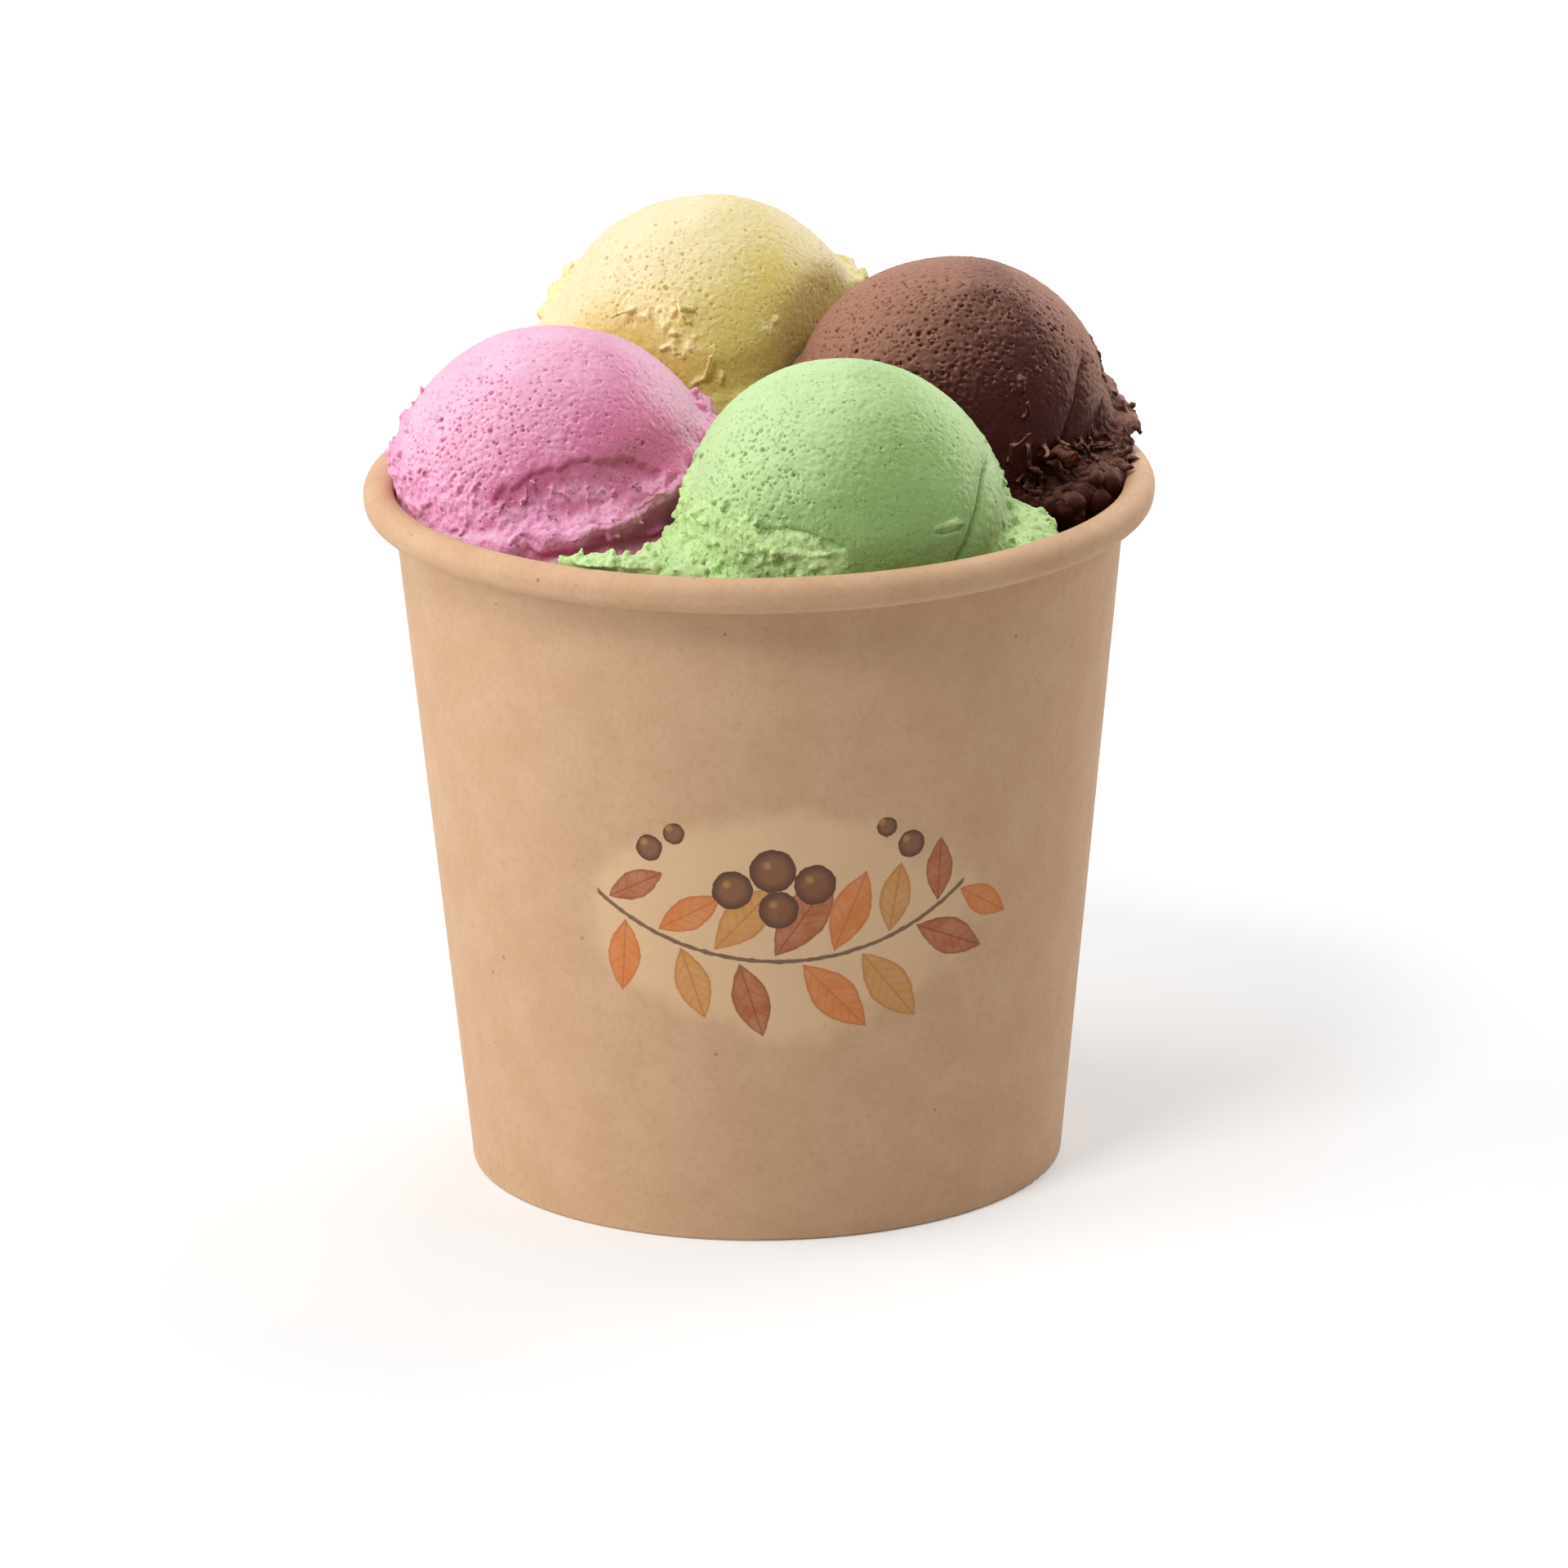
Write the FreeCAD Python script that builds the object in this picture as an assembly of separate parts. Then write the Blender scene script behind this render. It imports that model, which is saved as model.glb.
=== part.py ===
"""Paper ice cream cup filled with four scoops.

The cup is a tapered board tub: one wall blank, wrapped into a cone with a lapped side seam, rolled
outwards at the rim and folded up inside at the foot, and one base disc whose flange is gripped in
that fold.  The four scoops are packed down to the base, one flavour to a quarter, and each ends in
a leaning dome with a ragged skirt.

Units are millimetres.  +Z is up, and the origin is the centre of the foot, on the table.
The viewer's side of the cup is -Y, and the side seam is at the back, on +Y.
"""
import FreeCAD, Part
import math
import os

from FreeCAD import Vector

# ---------------------------------------------------------------- driving dimensions: the cup
RIM_DIAMETER = 118.0        # over the rolled rim
CUP_HEIGHT = 106.0          # foot to the crest of the rim
FOOT_DIAMETER = 88.8        # over the wall at the table
ROLL_REACH = 4.0            # how far the rolled rim stands out from the wall
BOARD = 0.45                # wall board
BASE_BOARD = 0.40           # base disc board
GLUE_GAP = 0.05             # between glued layers

ROLL_HEIGHT = 5.2           # the rolled rim, crest to underside
ROLL_LAP_GAP = 0.10         # between the curl's tucked end and the wall
ROLL_TUCK = 1.6             # length of the curl's end inside the roll
FOLD_BELOW_DISC = 1.0       # the foot folds up inside to this far under the base disc
FOLD_INSIDE = 0.035         # inner radius of the fold's two corners
BASE_RECESS = 8.0           # table to the underside of the base disc
BASE_INSIDE = 0.7           # inner radius between disc and flange
FLANGE_TO_FOLD = 0.35       # end of the flange above the fold's bottom board

SEAM_LAP = 9.0              # width of the lapped side seam, along the wall
SEAM_FOOT_GAP = 0.9         # the lap's outer layer starts this far above the table
SEAM_ROLL_GAP = 0.3         # and ends this far under the roll

# ---------------------------------------------------------------- driving dimensions: the ice cream
DOME_RADIUS = 24.4          # the disher's bowl; each dome is this times its own size
WALL_CLEARANCE = 0.30       # ice cream to the cup
SCOOP_CLEARANCE = 0.30      # scoop to scoop, shared by the two
FILL_DEPTH = 13.5           # crest of the rim to the packed ice cream between the domes
SHOULDER = 1.6              # rise of the fill from its edge to a dome
FILL_EDGE_ROUNDING = 2.0    # rounding of the fill along the wall and its neighbours
RIM_OVERHANG_LEVEL = 2.0    # from this far above the crest a skirt may spread over the roll
OVERHANG_SLOPE = 2.5        # by this much for each millimetre that it is higher
OVERHANG_LIMIT = 0.6        # and stays this far inside the rim's outside

AZIMUTH_STEPS = 144         # control points round a scoop
DOME_STEP_DEG = 4.0         # between control rows on the lower dome, twice that near the crown
POLE_LATITUDE = 87.5        # the crown above this latitude is a tiny flat
FOOT_EDGE = 1.5             # rounding of the scoop's foot, on the cup's base
WAIST_DROP = 0.46           # the ball's lowest full row, below its centre, in dome radii
BODY_INSET = 1.0            # the body under a skirt is this much inside the dome
BODY_ROUGHNESS = 0.6        # broad waves of the body under a skirt
UNEVENNESS = 0.25           # gentle waves of a dome
SWEEP_HALF_WIDTH = 3.0      # of the grooves that the disher's edge leaves, in degrees
FILL_CORNERS = 18.0         # higher values give a sharper-cornered quarter of the cup
DOME_CORNERS = 10.0         # the same above the fill, where the scoops are rounder

# Each scoop: where its dome stands, as shares of the mouth's radius; its centre's height above
# the rim in dome radii; its size; the way its disher stood, as degrees towards the viewer and
# towards -X; the skirt's latitude about that axis; the skirt's lip; its lobes, as (direction
# from +X, extra reach, half width in degrees, lift); the sweep grooves, as (axis, latitude
# about it, middle of the groove, half length in degrees, depth); and the torn hollows, as
# (direction, half width, height above the skirt, half height in degrees, depth).
SCOOPS = {
    "scoop_strawberry": dict(
        place=(-0.556, -0.073), above_rim=-0.064, size=1.016,
        towards_viewer=11.7, towards_left=11.4, skirt=12.4, lip=1.5, phase=0.4,
        lobes=[(32, 1.4, 14, 0.0), (178, 0.6, 30, 0.0)],
        sweeps=[],
        hollows=[(-68, 36, 9.5, 8.5, 1.2)]),
    "scoop_pistachio": dict(
        place=(0.2275, -0.504), above_rim=0.002, size=0.984,
        towards_viewer=15.0, towards_left=0.0, skirt=-3.0, lip=1.8, phase=2.1,
        lobes=[(206, 12.0, 15, 3.5), (-6, 6.0, 24, 0.0), (70, 1.0, 30, 0.0)],
        sweeps=[((-0.894, -0.100, 0.436), -35.2, (0.785, -0.600, 0.151), 34, 0.9)],
        hollows=[(-128, 30, 12.0, 8.0, 0.7)]),
    "scoop_vanilla": dict(
        place=(-0.1355, 0.5685), above_rim=0.373, size=1.008,
        towards_viewer=20.2, towards_left=2.0, skirt=17.0, lip=1.3, phase=3.9,
        lobes=[(12, 2.2, 16, 0.0), (165, 0.6, 25, 0.0)],
        sweeps=[],
        hollows=[(-78, 22, 9.0, 8.0, 0.7)]),
    "scoop_chocolate": dict(
        place=(0.5245, 0.2017), above_rim=0.202, size=0.992,
        towards_viewer=20.0, towards_left=-9.0, skirt=5.0, lip=1.8, phase=5.2,
        lobes=[(-12, 6.0, 22, 2.5), (40, 1.6, 30, 0.0)],
        sweeps=[((-0.790, -0.295, 0.532), -18.5, (0.740, -0.660, 0.132), 40, 0.9),
                ((-0.790, -0.295, 0.532), -39.0, (0.950, -0.300, 0.050), 36, 0.8)],
        hollows=[(-38, 28, 9.0, 7.0, 1.0)]),
}
# Where one scoop gives way to its neighbour: how far the divide between them lies from the even
# one, towards the first.
GIVES_WAY = {
    ("scoop_strawberry", "scoop_vanilla"): 0.4,
    ("scoop_pistachio", "scoop_chocolate"): 0.4,
    ("scoop_vanilla", "scoop_chocolate"): 2.2,
}

# ---------------------------------------------------------------- worked-out cup geometry
FOOT_R = FOOT_DIAMETER / 2
RIM_R = RIM_DIAMETER / 2
TAPER = (RIM_R - ROLL_REACH - FOOT_R) / CUP_HEIGHT
AXIS = Vector(0, 0, 1)
ORIGIN = Vector(0, 0, 0)

# The wall's own directions in a section: along it, and square to it towards the outside.
UP = Vector(math.sin(math.atan(TAPER)), 0, math.cos(math.atan(TAPER)))
OUT = Vector(UP.z, 0, -UP.x)


def wall_outside(z):
    """Radius of the wall's outer face at a height."""
    return FOOT_R + TAPER * z


def wall_inside(z):
    """Radius of the wall's inner face at a height."""
    return wall_outside(z) - BOARD / OUT.x


# ---------------------------------------------------------------- board sections
def corner_arc(before, corner, after, radius):
    """The first, middle and last points of an arc that rounds a corner."""
    back = (before - corner).normalize()
    on = (after - corner).normalize()
    half = back.getAngle(on) / 2
    reach = radius / math.tan(half)
    centre = corner + (back + on).normalize() * (radius / math.sin(half))
    middle = centre + (corner - centre).normalize() * radius
    return corner + back * reach, middle, corner + on * reach


def rounded_edges(points, radii):
    """Straight runs through the points, with tangent arcs of the given radii at the inner ones."""
    edges = []
    start = points[0]
    for i in range(1, len(points) - 1):
        first, middle, last = corner_arc(points[i - 1], points[i], points[i + 1], radii[i - 1])
        if (first - start).Length > 1e-6:
            edges.append(Part.LineSegment(start, first).toShape())
        edges.append(Part.Arc(first, middle, last).toShape())
        start = last
    edges.append(Part.LineSegment(start, points[-1]).toShape())
    return edges


def shifted(points, radii, distance):
    """The same route moved sideways, to the left of its run, with its arcs kept concentric."""
    sides = []
    for a, b in zip(points, points[1:]):
        run = (b - a).normalize()
        sides.append(Vector(-run.z, 0, run.x))
    moved = [points[0] + sides[0] * distance]
    new_radii = []
    for i in range(1, len(points) - 1):
        a, b = sides[i - 1], sides[i]
        moved.append(points[i] + (a + b) * (distance / (1 + a.dot(b))))
        turns_left = a.x * b.z - a.z * b.x > 0
        new_radii.append(radii[i - 1] + (-distance if turns_left else distance))
    moved.append(points[-1] + sides[-1] * distance)
    return moved, new_radii


def board_section(points, radii, thickness):
    """A strip of board along a centreline in the XZ plane, as a face."""
    one, one_radii = shifted(points, radii, thickness / 2)
    other, other_radii = shifted(points, radii, -thickness / 2)
    edges = rounded_edges(one, one_radii) + rounded_edges(other, other_radii)
    edges.append(Part.LineSegment(one[0], other[0]).toShape())
    edges.append(Part.LineSegment(one[-1], other[-1]).toShape())
    return Part.Face(Part.Wire(Part.__sortEdges__(edges)))


def turned(face, degrees=360.0, start=0.0):
    """A section swept round the cup's axis."""
    solid = face.revolve(ORIGIN, AXIS, degrees)
    solid.rotate(ORIGIN, AXIS, start)
    return solid


# ---------------------------------------------------------------- the cup
def cup_wall():
    """The wall blank: folded foot, cone, rolled rim and the outer layer of the side seam."""
    half = BOARD / 2
    foot = Vector(wall_outside(0), 0, 0) - OUT * half
    foot = foot + UP * ((half - foot.z) / UP.z)
    fold_in = BOARD + BASE_BOARD + 2 * GLUE_GAP
    inner_foot = foot - Vector(fold_in / OUT.x, 0, 0)

    # The roll's upper arc touches the rim diameter, the cup height and the wall's centreline.
    roll_1 = ((RIM_R - half - foot.x) * OUT.x + (CUP_HEIGHT - half - foot.z) * OUT.z) \
        / (1 + OUT.x + OUT.z)
    roll_2 = roll_1 - (BOARD + ROLL_LAP_GAP) / 2
    upper = Vector(RIM_R - half - roll_1, 0, CUP_HEIGHT - half - roll_1)
    crest_in = upper + (UP - OUT) * roll_1
    crest_out = upper + (UP + OUT) * roll_1
    lower_z = CUP_HEIGHT - ROLL_HEIGHT + half + roll_2
    lower = upper + OUT * (roll_1 - roll_2)
    lower = lower - UP * ((lower.z - lower_z) / UP.z)
    low_out = lower + (OUT - UP) * roll_2
    low_in = lower - (OUT + UP) * roll_2
    tuck_end = low_in + UP * (roll_2 + ROLL_TUCK)

    fold_height = BASE_RECESS - FOLD_BELOW_DISC
    route = [inner_foot + UP * fold_height, inner_foot, foot, crest_in, crest_out, low_out,
             low_in, tuck_end]
    near = 0.999             # leaves a short straight run between two arcs of one curl
    fold = half + FOLD_INSIDE
    radii = [fold, fold, roll_1 * near, roll_1 * near, roll_2 * near, roll_2 * near]
    wall = turned(board_section(route, radii, BOARD))

    lap_low = SEAM_FOOT_GAP
    lap_high = CUP_HEIGHT - ROLL_HEIGHT - SEAM_ROLL_GAP
    a = Vector(wall_outside(lap_low), 0, lap_low)
    b = Vector(wall_outside(lap_high), 0, lap_high)
    # The lap is bonded half a board deep into the wall.
    corners = [a - OUT * half, a + OUT * BOARD, b + OUT * BOARD, b - OUT * half]
    lap_face = Part.Face(Part.makePolygon(corners + corners[:1]))
    lap_deg = math.degrees(SEAM_LAP / wall_outside(CUP_HEIGHT / 2))
    return wall.fuse(turned(lap_face, lap_deg, 90 - lap_deg / 2)).removeSplitter()


def cup_base():
    """The base disc, with its rim turned down between the wall and the fold."""
    disc_z = BASE_RECESS + BASE_BOARD / 2
    inset = BOARD + GLUE_GAP + BASE_BOARD / 2
    corner = Vector(wall_outside(disc_z) - inset / OUT.x, 0, disc_z)
    flange_end = corner - UP * ((disc_z - BOARD - FLANGE_TO_FOLD) / UP.z)
    return turned(board_section([Vector(0, 0, disc_z), corner, flange_end],
                                [BASE_INSIDE + BASE_BOARD / 2], BASE_BOARD))


# ---------------------------------------------------------------- room for the ice cream
FILL_LEVEL = CUP_HEIGHT - FILL_DEPTH
FILL_FLOOR = BASE_RECESS + BASE_BOARD + WALL_CLEARANCE


def dome(name):
    """A dome's centre and radius."""
    scoop = SCOOPS[name]
    mouth = wall_inside(CUP_HEIGHT)
    return (scoop["place"][0] * mouth, scoop["place"][1] * mouth,
            CUP_HEIGHT + scoop["above_rim"] * DOME_RADIUS, scoop["size"] * DOME_RADIUS)


def partitions(name):
    """The upright planes between a scoop and its neighbours, as (outward normal, distance)."""
    planes = []
    x1, y1, _, r1 = dome(name)
    for other in SCOOPS:
        if other == name:
            continue
        x2, y2, _, r2 = dome(other)
        dx, dy = x2 - x1, y2 - y1
        apart = math.hypot(dx, dy)
        yielding = GIVES_WAY.get((name, other), 0.0) - GIVES_WAY.get((other, name), 0.0)
        reach = (apart + r1 - r2) / 2 - yielding
        planes.append((dx / apart, dy / apart, reach - SCOOP_CLEARANCE / 2))
    return planes


def room(name, azimuth, z, planes, corners, over_roll=False):
    """How far a scoop may reach from its upright axis in a direction at a height."""
    cx, cy, _, _ = dome(name)
    dx, dy = math.cos(azimuth), math.sin(azimuth)
    limit = wall_inside(min(z, CUP_HEIGHT)) - WALL_CLEARANCE
    if over_roll:
        above_roll = max(z - CUP_HEIGHT - RIM_OVERHANG_LEVEL, 0.0)
        limit = min(limit + OVERHANG_SLOPE * above_roll, RIM_R - OVERHANG_LIMIT)
    along = cx * dx + cy * dy
    reaches = [-along + math.sqrt(max(along ** 2 - cx ** 2 - cy ** 2 + limit ** 2, 0))]
    for nx, ny, reach in planes:
        facing = nx * dx + ny * dy
        if facing > 1e-3:
            reaches.append(reach / facing)
    return sum(r ** -corners for r in reaches) ** (-1 / corners)


# ---------------------------------------------------------------- a scoop's form
def turn_between(a, b):
    """The signed difference of two directions in degrees."""
    return math.degrees(math.remainder(math.radians(a - b), 2 * math.pi))


def raggedness(angle, phase):
    """An uneven wave round the skirt, between about -1 and 1."""
    return (0.30 * math.sin(9 * angle + phase) + 0.35 * math.sin(17 * angle + 2.3 * phase)
            + 0.25 * math.sin(26 * angle - 1.7 * phase) + 0.2 * math.sin(31 * angle + phase))


def lobes(scoop, degrees):
    """The skirt's extra reach and its lift in a direction."""
    reach = lift = 0.0
    for at, far, width, high in scoop["lobes"]:
        share = math.exp(-(turn_between(degrees, at) / width) ** 2)
        reach += far * share
        lift += high * share
    return reach, lift


def relief(scoop, degrees, above_skirt, direction):
    """How far the dome's skin lies outside its ball: waves, less the grooves and hollows."""
    a = math.radians(degrees)
    u = math.radians(above_skirt)
    phase = scoop["phase"]
    height = UNEVENNESS * (math.sin(2 * a + phase + 2 * u) + math.sin(3 * a - 4 * u - phase)) / 2
    for axis, latitude, middle, half_length, depth in scoop["sweeps"]:
        off = math.degrees(math.asin(direction.dot(Vector(axis).normalize()))) - latitude
        along = math.degrees(direction.getAngle(Vector(middle)))
        height -= depth * math.exp(-(off / SWEEP_HALF_WIDTH) ** 2 - (along / half_length) ** 4)
    for at, width, level, tall, depth in scoop["hollows"]:
        off = turn_between(degrees, at) / width
        height -= depth * math.exp(-off ** 6 - ((above_skirt - level) / tall) ** 6)
    return height


def scoop_axes(scoop):
    """The dome's own frame: its X and Y directions and its leaning pole."""
    ahead = math.radians(scoop["towards_viewer"])
    left = math.radians(scoop["towards_left"])
    pole = Vector(-math.sin(left), -math.cos(left) * math.sin(ahead),
                  math.cos(left) * math.cos(ahead))
    x_axis = (Vector(1, 0, 0) - pole * pole.x).normalize()
    return x_axis, pole.cross(x_axis), pole


def control_rows(name):
    """The rows of control points of one scoop, from the edge of its foot to the crown."""
    scoop = SCOOPS[name]
    planes = partitions(name)
    cx, cy, cz, radius = dome(name)
    skirt, lip, phase = (scoop[k] for k in ("skirt", "lip", "phase"))
    x_axis, y_axis, pole = scoop_axes(scoop)
    turns = [360.0 * i / AZIMUTH_STEPS for i in range(AZIMUTH_STEPS)]

    def level_row(z, reach=2 * RIM_R, inset=0.0):
        """A level row: to the end of the room, less an inset, but no further than a reach."""
        row = []
        for turn in turns:
            a = math.radians(turn)
            r = min(reach, room(name, a, z, planes, FILL_CORNERS) - inset)
            row.append(Vector(cx + r * math.cos(a), cy + r * math.sin(a), z))
        return row

    def fitted(direction, distance, over_roll=True):
        """The point at a distance from the dome's centre, drawn in to the scoop's room."""
        p = direction * distance
        across = math.hypot(p.x, p.y)
        allowed = room(name, math.atan2(p.y, p.x), cz + p.z, planes, DOME_CORNERS, over_roll)
        if across > 1e-9:
            held = (across ** -24 + allowed ** -24) ** (-1 / 24)
            p = Vector(p.x * held / across, p.y * held / across, p.z)
        return Vector(cx + p.x, cy + p.y, cz + p.z)

    def on_dome(turn, latitude):
        """The direction from the centre at a turn round the pole and a latitude."""
        a, lat = math.radians(turn), math.radians(latitude)
        flat = x_axis * math.cos(a) + y_axis * math.sin(a)
        return flat * math.cos(lat) + pole * math.sin(lat)

    waist = max(cz - WAIST_DROP * radius, FILL_LEVEL + SHOULDER + 1.0)
    drop = (cz - waist) / radius

    def body_row(share, buttress):
        """A row between the level waist and the leaning underside of the skirt."""
        row = []
        for turn in turns:
            a = math.radians(turn)
            flat = math.sqrt(1 - drop ** 2)
            low = Vector(flat * math.cos(a), flat * math.sin(a), -drop)
            direction = (low * (1 - share) + on_dome(turn, skirt - 7) * share).normalize()
            size = radius - BODY_INSET + buttress * lobes(scoop, turn)[0]
            size += BODY_ROUGHNESS * raggedness(0.4 * a, phase + 3 * share)
            row.append(fitted(direction, size, over_roll=False))
        return row

    def skirt_row(above, plain, ragged, lobe, wave):
        """A row of the skirt's lip, at degrees above the skirt's latitude."""
        row = []
        for turn in turns:
            out = lip * (plain + ragged * raggedness(math.radians(turn), phase + wave))
            latitude = skirt + above + 0.8 * raggedness(math.radians(turn), phase + 4)
            reach, lift = lobes(scoop, turn)
            distance = radius + out + lobe * reach
            direction = on_dome(turn, latitude) + Vector(0, 0, lobe * lift / distance)
            row.append(fitted(direction, distance))
        return row

    rows = [level_row(FILL_FLOOR, inset=FOOT_EDGE)]
    rows.append(level_row(FILL_FLOOR + FOOT_EDGE / 3, inset=FOOT_EDGE / 3))
    rows.append(level_row(FILL_FLOOR + FOOT_EDGE))
    for share in (0.2, 0.4, 0.6, 0.8):
        rows.append(level_row(FILL_FLOOR + share * (FILL_LEVEL - FILL_FLOOR)))
    rows.append(level_row(FILL_LEVEL - FILL_EDGE_ROUNDING))
    rows.append(level_row(FILL_LEVEL, inset=FILL_EDGE_ROUNDING / 2))
    rows.append(level_row(FILL_LEVEL + SHOULDER / 2, reach=radius + 5, inset=FILL_EDGE_ROUNDING))
    rows.append(level_row(FILL_LEVEL + SHOULDER, reach=radius + 1.5, inset=FILL_EDGE_ROUNDING))
    rows.append(level_row((FILL_LEVEL + SHOULDER + waist) / 2, reach=radius - BODY_INSET + 0.6))
    for share in (0.0, 0.25, 0.5, 0.75, 1.0):
        rows.append(body_row(share, 0.30 * (1 + share)))
    rows.append(skirt_row(-4.5, 0.25, 0.50, 0.80, 0.0))
    rows.append(skirt_row(-2.0, 1.20, 1.30, 1.05, 0.2))
    rows.append(skirt_row(0.5, 0.90, 1.00, 0.80, 0.4))
    rows.append(skirt_row(3.5, 0.15, 0.25, 0.25, 0.6))
    above = 6.0
    while skirt + above < POLE_LATITUDE - 3:
        row = []
        for turn in turns:
            direction = on_dome(turn, skirt + above)
            row.append(fitted(direction, radius + relief(scoop, turn, above, direction)))
        rows.append(row)
        above += DOME_STEP_DEG if above < 46 else 2 * DOME_STEP_DEG
    crown = radius + relief(scoop, 0, 90 - skirt, pole)
    tip = fitted(pole, crown * math.sin(math.radians(POLE_LATITUDE)))
    flat_radius = crown * math.cos(math.radians(POLE_LATITUDE))
    rows.append([tip + on_dome(turn, 0) * flat_radius for turn in turns])
    return rows


def scoop_solid(name):
    """A solid from one smooth surface over the scoop's control rows, a flat foot and a crown."""
    rows = control_rows(name)
    poles = [[row[i] for row in rows] for i in range(AZIMUTH_STEPS)]
    round_knots = list(range(AZIMUTH_STEPS + 1))
    up_knots = list(range(len(rows) - 2))
    surface = Part.BSplineSurface()
    surface.buildFromPolesMultsKnots(poles, [1] * len(round_knots),
                                     [4] + [1] * (len(up_knots) - 2) + [4],
                                     round_knots, up_knots, True, False, 3, 3)
    skin = Part.Face(surface)
    rings = [edge for edge in skin.Edges if edge.isClosed()]
    ends = [Part.Face(Part.Wire([ring])) for ring in rings]
    shell = Part.makeShell([skin] + ends)
    shell.sewShape()
    solid = Part.Solid(shell)
    if solid.Volume < 0:
        solid.reverse()
    return solid


# ---------------------------------------------------------------- export
def main():
    os.makedirs("parts", exist_ok=True)
    shapes = {"cup_wall": cup_wall(), "cup_base": cup_base()}
    for name in SCOOPS:
        shapes[name] = scoop_solid(name)
    for name, shape in shapes.items():
        print(f"{name}: valid {shape.isValid()}, solids {len(shape.Solids)}, "
              f"volume {shape.Volume / 1000:.2f} ml")
        shape.exportStep(f"parts/{name}.step")


main()
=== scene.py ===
# %% [markdown]
# # A paper cup with four scoops of ice cream
#
# This lesson dresses a measured model in its real surfaces.  The model is a rolled-rim paper tub
# with four scoops: strawberry, pistachio, vanilla and chocolate.  The tub's pieces keep their
# shape and get a kraft board finish.  Each scoop gets a new skin made over its measured solid:
# torn flakes are scattered on it, everything is melted into one mesh, and then pores, crumbs and
# the scoop's own marks are pressed into that mesh.
#
# All lengths are in metres, +Z is up, and the origin is the middle of the foot, on the table.

import math

import bmesh
import bpy
import numpy as np
from mathutils import Matrix, Vector


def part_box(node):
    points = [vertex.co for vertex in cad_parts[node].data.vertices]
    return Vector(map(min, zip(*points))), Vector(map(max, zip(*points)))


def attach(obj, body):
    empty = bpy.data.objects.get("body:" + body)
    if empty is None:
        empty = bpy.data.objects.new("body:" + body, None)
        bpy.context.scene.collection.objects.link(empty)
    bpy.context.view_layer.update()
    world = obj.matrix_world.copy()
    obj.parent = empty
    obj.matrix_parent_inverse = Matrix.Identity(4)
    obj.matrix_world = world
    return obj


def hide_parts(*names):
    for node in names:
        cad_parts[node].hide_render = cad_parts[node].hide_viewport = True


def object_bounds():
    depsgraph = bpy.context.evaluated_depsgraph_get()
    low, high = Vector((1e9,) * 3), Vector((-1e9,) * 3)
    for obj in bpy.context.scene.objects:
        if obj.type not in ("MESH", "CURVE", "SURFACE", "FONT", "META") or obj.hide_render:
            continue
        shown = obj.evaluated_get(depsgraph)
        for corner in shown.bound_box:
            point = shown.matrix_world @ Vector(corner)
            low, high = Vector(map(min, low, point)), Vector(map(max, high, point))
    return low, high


MM = 0.001

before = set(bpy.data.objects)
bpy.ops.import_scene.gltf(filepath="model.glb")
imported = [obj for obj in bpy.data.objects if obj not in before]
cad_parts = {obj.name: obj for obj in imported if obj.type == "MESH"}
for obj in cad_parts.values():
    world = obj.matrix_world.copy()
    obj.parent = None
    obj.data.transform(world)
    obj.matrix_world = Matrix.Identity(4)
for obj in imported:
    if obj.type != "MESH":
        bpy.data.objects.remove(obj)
cad_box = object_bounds()
print("nodes", sorted(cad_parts), "box", [tuple(round(v, 4) for v in c) for c in cad_box])

# %% [markdown]
# ## The camera
#
# A long lens far away keeps the rim's ellipse and the scoops' sizes nearly free of perspective,
# as in a catalogue picture.  The camera looks down by about a fifth of a right angle, and leans
# a little.  Its three axes are worked out from those two angles, so the lean turns the picture
# about its own middle and nothing else changes.

# %% Placing the camera
VIEW_DROP = 0.302264       # how steeply the camera looks down, in radians
VIEW_ROLL = -0.0119314     # how far it leans sideways
CAMERA_PLACE = (0.003183, -1.88431, 0.64467)
LENS = 301.956
SENSOR = 36.0

ahead = Vector((0, math.cos(VIEW_DROP), -math.sin(VIEW_DROP)))
across = Vector((1, 0, 0))
upward = across.cross(ahead)
right = across * math.cos(VIEW_ROLL) + upward * math.sin(VIEW_ROLL)
top = upward * math.cos(VIEW_ROLL) - across * math.sin(VIEW_ROLL)

camera = bpy.data.objects.new("camera", bpy.data.cameras.new("camera"))
camera.data.sensor_width = SENSOR
camera.data.lens = LENS
camera.data.clip_start = 0.1
camera.data.clip_end = 20.0
columns = [(*axis, 0.0) for axis in (right, top, -ahead)]
camera.matrix_world = Matrix([*columns, (*CAMERA_PLACE, 1.0)]).transposed()
bpy.context.scene.collection.objects.link(camera)
bpy.context.scene.camera = camera
bpy.context.scene.view_settings.view_transform = "Standard"
print("camera at", CAMERA_PLACE, "looking", tuple(round(v, 3) for v in ahead))

# %% [markdown]
# ## Small helpers for node trees
#
# Materials and Geometry Nodes are both trees of nodes.  A few helpers keep them readable: two add
# a node and fill its sockets with numbers or links, and the others wrap the nodes for sums, soft
# steps, patterns and mixing, so that a formula reads from the inside out.  Everything else in
# this lesson is built with them.

# %% Node helpers
def fill(tree, node, sockets):
    """Sets a node's sockets to plain values, or links them to other sockets."""
    for socket, value in sockets.items():
        if isinstance(value, bpy.types.NodeSocket):
            tree.links.new(value, node.inputs[socket])
        else:
            node.inputs[socket].default_value = value


def add_node(tree, kind, sockets=None, **settings):
    """A new node with its options set and its sockets filled."""
    node = tree.nodes.new(kind)
    for key, value in settings.items():
        setattr(node, key, value)
    fill(tree, node, sockets or {})
    return node


def calc(tree, operation, *values):
    """One step of arithmetic on numbers or sockets."""
    return add_node(tree, "ShaderNodeMath", dict(enumerate(values)),
                    operation=operation).outputs[0]


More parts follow.
